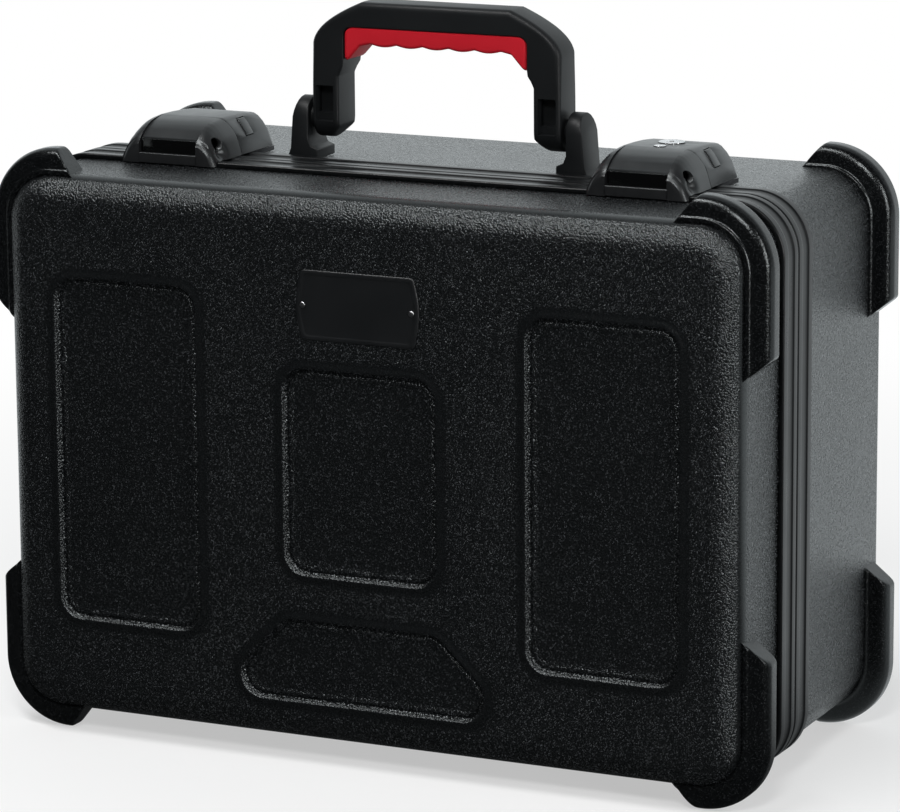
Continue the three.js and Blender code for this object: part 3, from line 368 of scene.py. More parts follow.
def with_face(xs, zs, dip, flat_corner, profile, face_at, facing):
    """Points and faces of a body with a modelled face. The face is a fitted grid with its dip. Its
    border is carried through a profile of (offset from the rim, depth) and ends in a flat cap."""
    gx, gz = fitted_grid(xs, zs, flat_corner, 2.2 * flat_corner + corner_ease)
    face = np.stack([gx, face_at + facing * dip(gx, gz), gz + middle], -1).reshape(-1, 3)
    index = np.arange(gx.size).reshape(gx.shape)
    loop = np.concatenate([index[:-1, 0], index[-1, :-1], index[:0:-1, -1], index[0, :0:-1]])
    row = np.column_stack([gx.ravel()[loop], gz.ravel()[loop]])
    base = rim_half - corner_radius
    centre = np.clip(row, -base, base)
    way = (row - centre) / np.linalg.norm(row - centre, axis=1)[:, None]
    offset, depth = (np.array(values)[:, None] for values in zip(*profile))
    place = centre + way * (corner_radius + offset[..., None])
    y = np.broadcast_to(face_at + facing * depth, place.shape[:2])
    sweep = np.stack([place[..., 0], y, place[..., 1] + middle], -1)
    columns, start = len(loop), len(face)
    round_the_face = np.arange(columns)
    joint = [loop, np.roll(loop, -1), start + np.roll(round_the_face, -1), start + round_the_face]
    side_faces = grid_faces(len(profile), columns) + start
    faces = [grid_faces(*gx.shape, ring=False), np.stack(joint, -1), side_faces]
    cap = start + (len(profile) - 1) * columns + round_the_face
    return np.concatenate([face, sweep.reshape(-1, 3)]), np.concatenate(faces), [cap.tolist()]


def tray(xs, zs, dip, edge, cap_depth, sides, face_at, facing):
    """A shell: over a quarter circle from its face to its sides, each an (offset, depth), then back
    inside the wall, whose edge is a quarter circle about the same axis, to a cap."""
    turn = np.linspace(0, math.pi / 2, 13)[1:]

    def rounded_edge(radius, turn):
        """A quarter circle about the axis of the outer edge: r sin a outwards and r cos a forwards."""
        return [(radius * math.sin(a) - edge - shell_draft, edge - radius * math.cos(a)) for a in turn]

    within = [(offset - shell_wall, depth) for offset, depth in sides[::-1]]
    within += [point for point in rounded_edge(edge - shell_wall, turn[::-1]) if point[1] > cap_depth]
    profile = rounded_edge(edge, turn) + sides + within
    profile += [(profile[-1][0] - cap_step, cap_depth)]
    return with_face(xs, zs, dip, corner_radius - shell_draft - edge, profile, face_at, facing)


def lid_polish(x, y, z):
    """How far the grain is drawn away. On the round edge it is a band of the angle, which begins and ends
    by a smooth step, and on the face another band of the distance into a panel, most of it on the bead
    and a quarter of it on the floor of the panel."""
    outward = np.maximum(np.abs(x) - lid_flat[0], np.abs(z) - lid_flat[1])
    turn = np.arctan2(np.clip(front + lid_edge - y, 1e-9, 1), outward)
    over_the_edge = smooth(turn, *edge_spans[0]) * (1 - smooth(turn, *edge_spans[1]))
    inward = into_a_panel(x, z)
    on_a_bead = smooth(inward, *polished_span) * (1 - smooth(inward, *grained_span))
    in_a_panel = smooth(inward, *floor_span)
    return np.where(y > front + face_reach, over_the_edge, 0.9 * on_a_bead + 0.25 * in_a_panel)


near_walls_x = [(side * c * mm, r * mm) for side in (-1, 1) for c, r in ((111, 9), (207, 9), (68, 27))]
near_walls_z = [(c * mm, r * mm) for c, r in ((107, 9), (-107, 9), (63, 9), (-63, 9), (-110, 24), (-142, 9))]
lid_sides = [(side_flare[0], lid_edge + side_flare[1]), (0, valance_front), (0, valance_front + lid_channel)]
points, faces, caps = tray(
    spaced(lid_flat[0], lid_step, near_walls_x), spaced(lid_flat[1], lid_step, near_walls_z),
    panel_dip, lid_edge, lid_cap, lid_sides, front, 1,
)
x, y, z = points.T
# Its side attribute makes the painted glints paler behind the front edge: on the sides, the top and the
# bottom.
made("lid_skin", "lid", "shell", pebbled("pebbled_lid"), points, faces, caps, ["lid_shell"],
     polish=lid_polish(x, y, z - middle), side=smooth(y, front + 0.6 * lid_edge, front + lid_edge))


# Base shell.
# The deeper tray, drawn from the same black sheet, with a tighter rear edge and a plain back. Its front
# edge stands in the channel of its valance.
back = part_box("base_shell")[1][1]
base_edge = 7 * mm
base_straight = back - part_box("base_valance")[1][1]
base_channel = 12.5 * mm
base_flat = rim_half - shell_draft - base_edge
base_step = 12 * mm
base_sides = [(0, base_straight), (0, base_straight + base_channel)]
points, faces, caps = tray(
    spaced(base_flat[0], base_step), spaced(base_flat[1], base_step),
    lambda x, z: 0 * x, base_edge, shell_wall, base_sides, back, -1,
)
# Its side attribute makes the painted glints paler everywhere but on the back.
made("base_skin", "base", "shell", pebbled("pebbled_base"), points, faces, caps, ["base_shell"],
     side=1 - smooth(points[:, 1], back - base_edge, back))


# Corner bumpers.
# Eight thick arms of the same polymer, welded round the corners of the shells. Each has a low bead at
# its foot, a slanted flank towards the front, a ridge, a flat outer band and slanted ends.
bumper_depth = 16 * mm
lid_bumper_front = 11 * mm
base_bumper_back = 10 * mm
side_arm = 81 * mm
top_arm = 203 * mm
bumper_root = -4.6 * mm
ramp_length, ramp_slope, ramp_foot = 16 * mm, 1.25, 0.6 * mm
ramp_ease = 1.0 * mm
arm_step, arm_overrun = 12 * mm, 5 * mm


def eased(corners, radii, steps=5):
    """A line of straight runs, closed on itself, whose corners are parabolas that begin and end that
    far from the corner. Where the radius is 0 the corner stays sharp."""
    corners = np.array(corners, float)
    before, after = np.roll(corners, 1, axis=0) - corners, np.roll(corners, -1, axis=0) - corners
    radii = np.broadcast_to(radii, len(corners))
    start, end = (
        corners + way * np.minimum(0.49, radii / np.linalg.norm(way, axis=1))[:, None]
        for way in (before, after)
    )
    t = np.linspace(0, 1, steps)[None, :, None]
    curve = start[:, None] * (1 - t) ** 2 + 2 * corners[:, None] * t * (1 - t) + end[:, None] * t ** 2
    return curve.reshape(-1, 2)


bumper_section = eased(
    [(bumper_root / mm, -0.4), (-1.3, -1.1), (-0.3, -0.9), (0.8, 0.3), (7.6, 1.0),
     (10.9, 3.3), (12.6, 7.2), (12.6, 15.1), (11.8, 16.0), (-3.4, 16.0)],
    [0, 0.7, 0.5, 0.8, 2.4, 1.9, 1.2, 0.9, 0.7, 0],
) * mm


def arm_stations(length):
    """Distances from the start of a bend to the end of a straight arm, dense over the slanted end."""
    ramp_start = max(length - ramp_length, 0)
    run = np.arange(0, ramp_start - arm_step / 3, arm_step)
    return np.concatenate([np.linspace(length + arm_overrun, ramp_start, 26), run[::-1]])


def closed(name, body, slot, finish, points, stands_for=()):
    """A piece of rings of points from one end to the other, with a flat cap at each end."""
    rows, columns = points.shape[:2]
    ends = [list(range(columns)), list(range((rows - 1) * columns, rows * columns))]
    return made(name, body, slot, finish, points, grid_faces(rows, columns), ends, stands_for)


def bumper_surface(side_x, side_z, depth):
    """A section carried along the rim outline: up one straight arm, round the quarter circle and along
    the other arm. Towards an arm's end its offsets are held under a slope by a smooth least."""
    base = rim_half - corner_radius
    across, up = base - [top_arm, side_arm]
    bend = np.linspace(0, math.pi / 2, 30)[1:-1]
    first, last = arm_stations(up), arm_stations(across)[::-1]
    angle = np.concatenate([0 * first, bend, 0 * last + math.pi / 2])
    x = base[0] - np.concatenate([0 * first, 0 * bend, last])
    z = base[1] - np.concatenate([first, 0 * bend, 0 * last])
    to_the_end = np.concatenate([up - first, 0 * bend + 1, across - last])[:, None]
    slope = ramp_slope * to_the_end + ramp_foot
    offset = bumper_section[None, :, 0]
    blend = np.clip(1 - np.abs(offset - slope) / (2 * ramp_ease), 0, 1)
    held = np.minimum(offset, slope) - ramp_ease * blend ** 2 / 2
    reach = corner_radius + np.maximum(held, np.minimum(offset, bumper_root))
    px = side_x * (x[:, None] + reach * np.cos(angle)[:, None])
    pz = middle + side_z * (z[:, None] + reach * np.sin(angle)[:, None])
    py = np.broadcast_to(front + depth + bumper_section[None, :, 1], px.shape)
    return np.stack([px, py, pz], -1)


bumper_skin = Finish("leathered_bumper", Specular_Tint=sheet_shine, Specular_IOR_Level=0.38)
wrinkles = bumper_skin.noise(2.4 * mm, 3, 0.6, bumper_skin.drawn(0.6, 2.2, 0.6))
fine = bumper_skin.noise(0.9 * mm, 2, 0.6)
scuffs = fine.step(0.5, 0.7)
bumper_skin.set(Base_Color=bumper_skin.mixed(scuffs, (0.0016, 0.0018, 0.002), (0.012, 0.013, 0.014)))
bumper_skin.set(Roughness=fine * 0.14 + 0.14, Normal=bumper_skin.relief(wrinkles + fine * 0.5, 0.16 * mm))
for body, depth in (("lid", lid_bumper_front), ("base", back - front - base_bumper_back - bumper_depth)):
    for side_x, across_name in ((-1, "left"), (1, "right")):
        for side_z, up_name in ((-1, "low"), (1, "high")):
            name = f"{body}_bumper_{across_name}_{up_name}"
            closed(name, body, "shell", bumper_skin, bumper_surface(side_x, side_z, depth))


# Valances.
# Two extruded frames with raised bands and a flute, bent round the rims and closed at the parting line,
# where the tongue of the lid's valance enters the groove of the base's.
band_depth = 23.1 * mm
valance_outside = [(0.3, 0), (2.5, 0), (3.2, 0.7), (3.2, 6.4), (2.1, 7.6), (2.1, 15.5), (3.2, 16.7),
                   (3.2, 21.9), (2.5, 22.8)]
valance_ease = [0, 0.3, 0.35, 0.5, 3, 3, 0.5, 0.45, 0.2]
tongue = [(-0.3, 22.8), (-0.3, 25.8), (-2.5, 25.8), (-2.5, 22.8)]
groove = [(0.4, 22.8), (0.4, 16.1), (-3.0, 16.1), (-3.0, 22.8)]
valance_satin = Finish("valance_satin", Base_Color=(0.005, 0.0055, 0.006), Specular_IOR_Level=0.22)
drift = valance_satin.noise(35 * mm, 3)
scuffs = valance_satin.noise(3 * mm, 4, 0.7, valance_satin.drawn(6, 1, 6))
valance_satin.set(Roughness=drift * 0.12 + (scuffs - 0.5) * 0.12 + 0.24)
valance_satin.set(Normal=valance_satin.relief(scuffs, 0.01 * mm))


def carried_round_the_rim(profile, steps=16):
    """A closed profile of (offset, depth) carried once round the rim outline: four quarter circles
    about their centres, with the straight runs between them."""
    base = rim_half - corner_radius
    angle = np.concatenate([np.linspace(a, a + math.pi / 2, steps) for a in np.arange(4) * math.pi / 2])
    corner = np.repeat([[1, 1], [-1, 1], [-1, -1], [1, -1]], steps, axis=0) * base
    reach = corner_radius + profile[None, :, 0]
    x = corner[:, :1] + reach * np.cos(angle)[:, None]
    z = corner[:, 1:] + reach * np.sin(angle)[:, None] + middle
    return np.stack([x, np.broadcast_to(front + profile[None, :, 1], x.shape), z], -1)


def valance(name, body, mating, channel, start, facing):
    """One frame: the outline of its bands, what meets the other frame, and the channel that the edge of
    the shell stands in, carried round the rim."""
    channel = channel / mm
    inside = [(-5.5, 22.8), (-5.5, 2.5), (-3.3, 2.5), (-3.3, channel + 0.3), (0.3, channel + 0.3)]
    ease = valance_ease + [0.15] * len(mating) + [0.2] * len(inside)
    profile = eased(valance_outside + mating + inside, ease, 6) * mm
    profile[:, 1] = start + facing * profile[:, 1]
    points = carried_round_the_rim(profile)
    faces = grid_faces(*points.shape[:2], endless=True)
    made(f"{name}_band", body, "valance", valance_satin, points, faces, stands_for=[name])


valance("lid_valance", "lid", tongue, lid_channel, valance_front, 1)
valance("base_valance", "base", groove, base_channel, valance_front + 2 * band_depth, -1)


# Handle frame.
# Two legs and a bar in one moulding of glass-filled nylon, round at the feet, with a blind pocket in
# both faces of each leg that keeps the wall thin. It turns on two pins.
frame_low, frame_high = np.array(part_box("handle_frame"))
handle_y = (frame_low[1] + frame_high[1]) / 2
handle_half = frame_high[0]
handle_thick = (frame_high[1] - frame_low[1]) / 2
handle_top, foot = frame_high[2], frame_low[2]
pivot = foot - 0.3 * mm + handle_thick
leg_inner = handle_half - 18 * mm
elbow = leg_inner - 3.9 * mm
elbow_start, elbow_end = handle_top - 46.6 * mm, handle_top - 38.6 * mm
bar_under = handle_top - 15.6 * mm
bar_start = handle_top - 41 * mm
foot_chamfer, foot_chamfer_rise = 7 * mm, 7.5 * mm
leg_end = handle_top - 46 * mm
shoulder = handle_top - 26.5 * mm
growth_start, growth_end = handle_top - 60 * mm, handle_top - 20 * mm
shoulder_reach = 34 * mm
shoulder_pull = np.array([1.7, 13.2]) * mm
elbow_turn = [(0, 5.4, 0.36), (0.4, 3.4, 0.43), (1.6, 1.6, 0.5), (3.4, 0.4, 0.57), (5.4, 0, 0.64)]
pocket_low, pocket_step, pocket_high = (foot + rise * mm for rise in (11.2, 16.2, 32.8))
pocket_across = np.array([2.7, 3.0, 14.4, 14.7]) * mm
pocket_shallow, pocket_deep = 4 * mm, 8 * mm
pocket_edge = 0.35 * mm
least_step, pocket_slack = 0.05 * mm, 0.01 * mm
leg_round, bar_round = 2.4 * mm, 4.2 * mm
leg_inner_round, bar_inner_round = 2.2 * mm, 0.7 * mm


def two_toned(name, dark, pale, grain, drift, dull, depth, rough=0.6, **values):
    """Two tones that drift into each other, with a fine grain in the relief. The roughness is dull[0],
    plus dull[1] times the drift, plus dull[2] times the grain."""
    finish = Finish(name, **values)
    fine, broad = finish.noise(grain, 3, rough), finish.noise(drift, 3)
    finish.set(Base_Color=finish.mixed(broad, dark, pale), Normal=finish.relief(fine, depth))
    finish.set(Roughness=broad * dull[1] + fine * dull[2] + dull[0])
    return finish


handle_black = two_toned("nylon_black", (0.006, 0.0068, 0.0074), (0.009, 0.01, 0.0108), 0.8 * mm, 28 * mm,
                         (0.3, 0.14, 0.12), 0.03 * mm, Specular_IOR_Level=0.22)


def on_a_line(corners, places):
    """Points at places from 0 to 1 along a line through corners, whose keys are its last column."""
    corners = np.array(corners, float)
    return np.column_stack([np.interp(places, corners[:, 2], corners[:, axis]) for axis in (0, 1)])


def handle_half_stations():
    """From the foot of the right leg to the middle of the bar: outer and inner point, half-thickness and
    the depth of the pocket. The foot is a half circle about the pin, seen from the side. The shoulder is
    a parabola with one pulling point, a (1 - t)^2 + 2 b t (1 - t) + c t^2, and the elbow inside it a line
    of (inset, drop, t)."""
    sunk = np.linspace(math.acos((pivot - foot) / handle_thick), math.pi / 2, 12)
    low = pivot - handle_thick * np.cos(sunk)
    pocket = [pocket_low - pocket_edge, pocket_low, pocket_step - pocket_edge, pocket_step + pocket_edge,
              pocket_high, pocket_high + pocket_edge]
    leg = np.unique(np.concatenate([low, pocket, np.linspace(pivot, leg_end - 1 * mm, 8)]))
    leg = leg[np.append(True, np.diff(leg) > least_step)]
    chamfer = np.interp(leg, [foot, foot + foot_chamfer_rise], [foot_chamfer, 0])
    outer = np.column_stack([0 * leg + handle_half, leg])
    inner = np.column_stack([leg_inner + chamfer, leg])
    t = np.linspace(0, 1, 29)[:, None]
    bend = (
        np.array([handle_half, shoulder]) * (1 - t) ** 2
        + (np.array([handle_half, handle_top]) - shoulder_pull) * 2 * t * (1 - t)
        + np.array([handle_half - shoulder_reach, handle_top]) * t ** 2
    )
    rising = np.linspace(leg_end, shoulder, 7)[:-1]
    inner_rise = np.interp(rising, [elbow_start, elbow_end], [leg_inner, elbow])
    turn = [(elbow - inset * mm, bar_under - drop * mm, key) for inset, drop, key in elbow_turn]
    inner_bend = [(elbow, shoulder, 0), *turn, (handle_half - shoulder_reach, bar_under, 1)]
    outer_rising = np.column_stack([0 * rising + handle_half, rising])
    inner_rising = np.column_stack([inner_rise, rising])
    outer = np.concatenate([outer, outer_rising, bend, [[0, handle_top]]])
    inner = np.concatenate([inner, inner_rising, on_a_line(inner_bend, t[:, 0]), [[0, bar_under]]])
    height = outer[:, 1]
    below = np.clip(pivot - height, 0, handle_thick)
    inside = (height > pocket_low - pocket_slack) & (height < pocket_high + pocket_slack)
    deep = np.where(height > pocket_step, pocket_deep, pocket_shallow) * inside
    return outer, inner, np.sqrt(handle_thick ** 2 - below ** 2), deep


def handle_surface():
    """Rings about the line of the handle. Each runs from the outer point towards the inner one across
    the front face and back across the rear one, with quarter circles at the four corners. The outer
    ones grow from the legs to the bar, and the inner ones are small beside the grip."""
    outer, inner, thick, deep = (np.concatenate([part, part[-2::-1]]) for part in handle_half_stations())
    side = np.append(np.ones(len(outer) // 2 + 1), -np.ones(len(outer) // 2))
    way = inner - outer
    width = np.linalg.norm(way, axis=1)
    way /= width[:, None]
    rise = smooth(outer[:, 1], growth_start, growth_end)
    in_the_bar = inner[:, 1] > bar_start
    outer_edge = leg_round + (bar_round - leg_round) * rise
    inner_edge = np.where(in_the_bar, bar_inner_round, leg_inner_round)
    outer_edge, inner_edge = (np.minimum(edge, thick * 0.9)[:, None] for edge in (outer_edge, inner_edge))
    width, thick, deep = width[:, None], thick[:, None], deep[:, None]
    turn = np.linspace(0, math.pi / 2, 7)[None, :]
    spread = outer_edge + (width - outer_edge - inner_edge) * [0.1, 0.2, 0.8, 0.9]
    w = [outer_edge * (1 - np.cos(turn)), np.where(deep == 0, spread, pocket_across),
         width - inner_edge * (1 - np.sin(turn))]
    y = [outer_edge * (1 - np.sin(turn)), deep * [0, 1, 1, 0], inner_edge * (1 - np.cos(turn))]
    w, y = np.concatenate(w, axis=1), np.concatenate(y, axis=1) - thick
    w, y = np.concatenate([w, w[:, ::-1]], axis=1), np.concatenate([y, -y[:, ::-1]], axis=1)
    x = (outer[:, :1] + way[:, :1] * w) * side[:, None]
    z = outer[:, 1:] + way[:, 1:] * w
    return np.stack([x, handle_y + y, z], -1)


def creased(thing, degrees=35):
    """Keeps edges sharper than an angle as creases in the shading."""
    mesh = thing.data
    bm = bmesh.new()
    bm.from_mesh(mesh)
    for edge in bm.edges:
        edge.smooth = len(edge.link_faces) == 2 and edge.calc_face_angle() < math.radians(degrees)
    bm.to_mesh(mesh)
    bm.free()
    return thing


creased(closed("handle_moulding", "handle", "handle", handle_black, handle_surface(), ["handle_frame"]))


# Grip.
# Red soft rubber moulded on the underside of the bar, with five bumps for the fingers and a bulb at
# each end that hugs the elbow of the frame.
grip_low, grip_high = np.array(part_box("handle_grip"))
grip_half, grip_top = grip_high[0], grip_high[2]
grip_thick = (grip_high[1] - grip_low[1]) / 2
grip_under = grip_top - 11.4 * mm
bump_pitch, bump_drop = 17.6 * mm, 1.5 * mm
bulb_line = np.array([[44, 1.5], [51.3, 0], [57, -6.2], [61.8, -12.4]]) * mm
grip_edge, grip_lip, grip_shoulder, bulb_tip = 2.2 * mm, 0.7 * mm, 6.2 * mm, 5.2 * mm
grip_even = 50 * mm
grip_step, blur_steps = 0.1 * mm, 15
grip_red = two_toned("rubber_red", (0.4, 0.0055, 0.0135), (0.455, 0.0075, 0.0175), 0.7 * mm, 16 * mm,
                     (0.4, 0.14, 0.08), 0.035 * mm, Specular_IOR_Level=0.2)


def grip_surface():
    """Rings across the grip, from end to end. The underside hangs in arches, 1 - |cos|, that run into the
    line of the bulb, averaged over 3 mm. A ring is a rectangle with quarter-circle corners. At a distance
    d from an end it is narrower by e - sqrt(e^2 - (e - d)^2), and its top and its underside are drawn in
    by the same with the shoulder and with the tip of the bulb in place of the edge."""
    run = np.arange(0, grip_half, grip_step)
    bumps = grip_under + bump_drop * (1 - np.abs(np.cos(math.pi * run / bump_pitch)))
    bulb = grip_under + np.interp(run, bulb_line[:, 0], bulb_line[:, 1])
    line = np.where(run < bulb_line[0, 0], bumps, bulb)
    wide = np.concatenate([line[blur_steps:0:-1], line, np.full(blur_steps, line[-1])])
    line = np.convolve(wide, np.hanning(2 * blur_steps + 1) / blur_steps, "valid")
    turn = np.linspace(0, math.pi / 2, 9)
    half = np.concatenate([
        np.linspace(0, grip_even, 76),
        np.linspace(grip_even, grip_half - grip_edge, 30)[1:-1],
        grip_half - grip_edge * (1 - np.sin(turn)),
    ])
    x = np.concatenate([-half[:0:-1], half])
    gap = grip_half - np.abs(x)
    edges = (grip_edge, grip_shoulder, bulb_tip)
    drawn = [r - np.sqrt(r ** 2 - np.clip(r - gap, 0, None) ** 2) for r in edges]
    thick, high = grip_thick - drawn[0], grip_top - drawn[1]
    low = np.interp(np.abs(x), run, line) + drawn[2]
    quarter = np.linspace(0, math.pi / 2, 7)
    corners = ((1, 1, grip_lip, 0), (-1, 1, grip_lip, 1), (-1, -1, grip_edge, 2), (1, -1, grip_edge, 3))
    y, z = [], []
    for way_y, way_z, radius, number in corners:
        angle = quarter + number * math.pi / 2
        y.append((way_y * (thick - radius))[:, None] + radius * np.cos(angle))
        z.append((np.where(way_z > 0, high, low) - way_z * radius)[:, None] + radius * np.sin(angle))
    y, z = np.concatenate(y, axis=1), np.concatenate(z, axis=1)
    return np.stack([np.broadcast_to(x[:, None], y.shape), handle_y + y, z], -1)


closed("grip_rubber", "handle", "grip", grip_red, grip_surface(), ["handle_grip"])


# Handle brackets and pins.
# Two moulded ears on the top of the base, each with a foot turned inwards and a boss for the steel pin
# on which the handle turns.
ear_edge, pin_edge = 0.7 * mm, 0.3 * mm
pin_steel = Finish("pin_steel", Metallic=1.0)
fine = pin_steel.noise(0.6 * mm, 3, 0.7, pin_steel.drawn(8, 1, 1))
drift = pin_steel.noise(4 * mm, 2)
pin_steel.set(Base_Color=pin_steel.mixed(drift, (0.42, 0.42, 0.43), (0.56, 0.56, 0.57)))
pin_steel.set(Roughness=fine * 0.2 + 0.18, Normal=pin_steel.relief(fine, 0.01 * mm))


def rounded(thing, width, segments=3, angle=30):
    """Rounds the edges that are sharper than an angle."""
    rounding = thing.modifiers.new("rounding", "BEVEL")
    rounding.width, rounding.segments, rounding.limit_method = width, segments, "ANGLE"
    rounding.angle_limit = math.radians(angle)
    rounding.harden_normals = True
    return thing


def from_solid(name, body, finish, node, edge, segments=3):
    """A copy of a CAD solid with flat regions joined and edges rounded to that radius."""
    bm = bmesh.new()
    bm.from_mesh(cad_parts[node].data)
    bmesh.ops.remove_doubles(bm, verts=bm.verts, dist=2e-6)
    bmesh.ops.dissolve_limit(bm, angle_limit=math.radians(1.5), verts=bm.verts, edges=bm.edges)
    mesh = bpy.data.meshes.new(name)
    bm.to_mesh(mesh)
    bm.free()
    rounded(placed(name, mesh, body, finish, [node]), edge, segments)


for side in ("left", "right"):
    from_solid(f"handle_ear_{side}", "base", handle_black, f"handle_bracket_{side}", ear_edge)
    from_solid(f"ear_pin_{side}", "base", pin_steel, f"handle_pin_{side}", pin_edge, 2)


# Latches.
# Two flip latches of smooth black nylon. A housing on the lid, of two cheeks, a lip and a floor, holds a
# steel pin, and a hollow lever turns on it, with a glossy nose in front and a spring button in each side.
pin_low, pin_high = np.array(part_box("latch_right_pin"))
latch_middle, pin_y, pin_z = (pin_low + pin_high) / 2
latch_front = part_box("latch_right_housing")[0][1]
latch_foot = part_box("lid_valance")[1][2]
nose_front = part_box("latch_right_lever")[0][1]
nose_half = 19.5 * mm
cheek_inside = 19.8 * mm
cheek_outside = 34.4 * mm
cheek_front = 29 * mm
cheek_corner = 9 * mm
cheek_rise = np.array([[0, 8.4], [0.4, 9.8], [1.5, 11.4], [3, 13], [6, 15.6], [10, 18.3], [14, 20.2],
                       [18, 21.5], [22, 22.2], [26, 22.6], [30, 22.9], [36, 23.1]]) * mm
seam_radius, seam_start = 24 * mm, 23.7 * mm
pin_hole, hole_ease = 3.7 * mm, 0.4 * mm
scoop_reach, scoop_depth = 4.2 * mm, 4 * mm
scoop_low, scoop_high = 4.5 * mm, 11.5 * mm
lip_half = 20.2 * mm
lip_drop, lip_back = 2.6 * mm, 3.1 * mm
floor_foot = 0.3 * mm
nose_fade, nose_edge = np.array([0.8, 2.4]) * mm, 0.5 * mm
bore_fade = np.array([-0.1, 0.2]) * mm
lever_edge, button_edge, plated_edge = 0.5 * mm, 0.6 * mm, 0.4 * mm
nylon_grey = (0.0145, 0.015, 0.016)
flat_along_x = (1000, 1, 1)


def latch_nylon(name, tone):
    """Satin nylon with faint flow lines along the latch, and its colour and roughness to build on."""
    nylon = Finish(name, Specular_Tint=(0.94, 0.99, 1.0))
    fine = nylon.noise(0.5 * mm, 3, 0.6)
    flow = nylon.noise(7 * mm, 3, 0.6, nylon.drawn(1, 4, 1))
    darker, lighter = (tuple(c * tone * level for c in nylon_grey) for level in (0.6, 1))
    colour, dull = nylon.mixed(flow, darker, lighter), flow * 0.12 + fine * 0.06 + 0.24
    nylon.set(Base_Color=colour, Roughness=dull, Normal=nylon.relief(fine, 0.012 * mm))
    return nylon, colour, dull


def glossy_nose(nylon, colour, dull):
    """The upright front of a lever is black and glossy: a mask of the depth, times one of the distance
    from the middle of a latch."""
    in_front = 1 - nylon.along("Y").step(*(nose_front + nose_fade))
    off_middle = (nylon.along("X").maths("ABSOLUTE") - latch_middle).maths("ABSOLUTE")
    mask = in_front * (1 - off_middle.step(nose_half - nose_edge, nose_half + nose_edge))
    black = nylon.mixed(mask, colour, (0.0015, 0.0015, 0.0016))
    nylon.set(Base_Color=black, Roughness=dull * (1 - mask) + mask * 0.05)
    return nylon


def bore_painted_dark(nylon, colour, dull):
    """A bore is painted black within its radius about the pin: painted shade for the dark of the hole."""
    reach = nylon.length(nylon.drawn(*flat_along_x, (0, pin_y, pin_z)))
    mask = 1 - reach.step(*(pin_hole + bore_fade))
    # Painted shade: near black and fully metallic, so the hole shows almost no light.
    nylon.set(Base_Color=nylon.mixed(mask, colour, (0.0012, 0.0012, 0.0013)), Metallic=mask)
    return nylon


def evenly(line, count):
    """Points at equal distances along a line."""
    run = np.append(0, np.cumsum(np.linalg.norm(np.diff(line, axis=0), axis=1)))
    at = np.linspace(0, run[-1], count)
    return np.column_stack([np.interp(at, run, line[:, axis]) for axis in (0, 1)])


cheek_slope = eased([(14.6, 0), (11.2, 11.8), (7.8, 17.5), (4.5, 21.3), (2.3, 22.6), (0, 23)],
                    [0, 4, 3, 2, 1.2, 0])
cheek_shares = evenly(cheek_slope, 76) / cheek_slope.max(axis=0)


def cheek_surface(middle_x, side):
    """Sections from the front of a latch to the seam, a circle about the pin. Each goes up from the foot
    by shares of its width and height to the slot, and down the slot. The width grows by a quarter
    ellipse and the height by a table, evened out. A bell curve about the pin takes a scoop from the
    side below the pin, and a smooth step about the pin sinks the hole of its end."""
    t = np.linspace(0, 1, 96)[:, None] ** 1.15
    across, up = np.append(cheek_shares, [[0, 0]], axis=0).T
    pin_back, pin_up = pin_y - latch_front, pin_z - latch_foot
    back = t * (pin_back + seam_radius) + 0 * up
    for _ in range(5):
        foot = np.where(back < lip_back, -lip_drop, floor_foot)
        shifts = np.linspace(-1, 1, 9) * mm
        rise = np.mean([np.interp(back + shift, *cheek_rise.T) for shift in shifts], axis=0)
        z = foot + (rise - foot) * up
        above = np.clip(z - pin_up, 0, seam_radius)
        seam = np.minimum(np.sqrt(seam_radius ** 2 - above ** 2), seam_start)
        back = t * (pin_back + seam)
    corner = np.clip(1 - back / cheek_corner, 0, 1)
    width = cheek_front - cheek_inside + (cheek_outside - cheek_front) * np.sqrt(1 - corner ** 2)
    x = cheek_inside + width * across
    outer = np.arange(len(up)) < len(up) - 1
    away = back - pin_back
    below_the_pin = (1 - smooth(z, scoop_low, scoop_high)) * (0.35 + 0.65 * smooth(z, 0, scoop_low))
    scoop = np.exp(-(away / scoop_reach) ** 2) * below_the_pin
    x = x - scoop_depth * scoop * np.minimum(outer, across * 2)
    hole = 1 - smooth(np.hypot(away, z - pin_up), pin_hole - hole_ease, pin_hole + hole_ease)
    pin_end = pin_high[0] - latch_middle - hole_ease
    x = x + (pin_end - x) * hole * outer * (across > 0.2)
    return np.stack([middle_x + side * x, latch_front + back, latch_foot + z], -1)


def across_the_latch(middle_x, outline):
    """A closed outline of (setback, height) drawn along X from one end to the other."""
    x = middle_x + lip_half * np.array([[-1], [1]])
    return np.stack(np.broadcast_arrays(x, latch_front + outline[:, 0], latch_foot + outline[:, 1]), -1)


def box_outline(back, top, foot, radii):
    """A rectangle of setbacks and heights with its corners eased, from the front at the foot."""
    corners = [(back[0], foot / mm), (back[1], foot / mm), (back[1], top), (back[0], top)]
    return eased(corners, radii) * mm


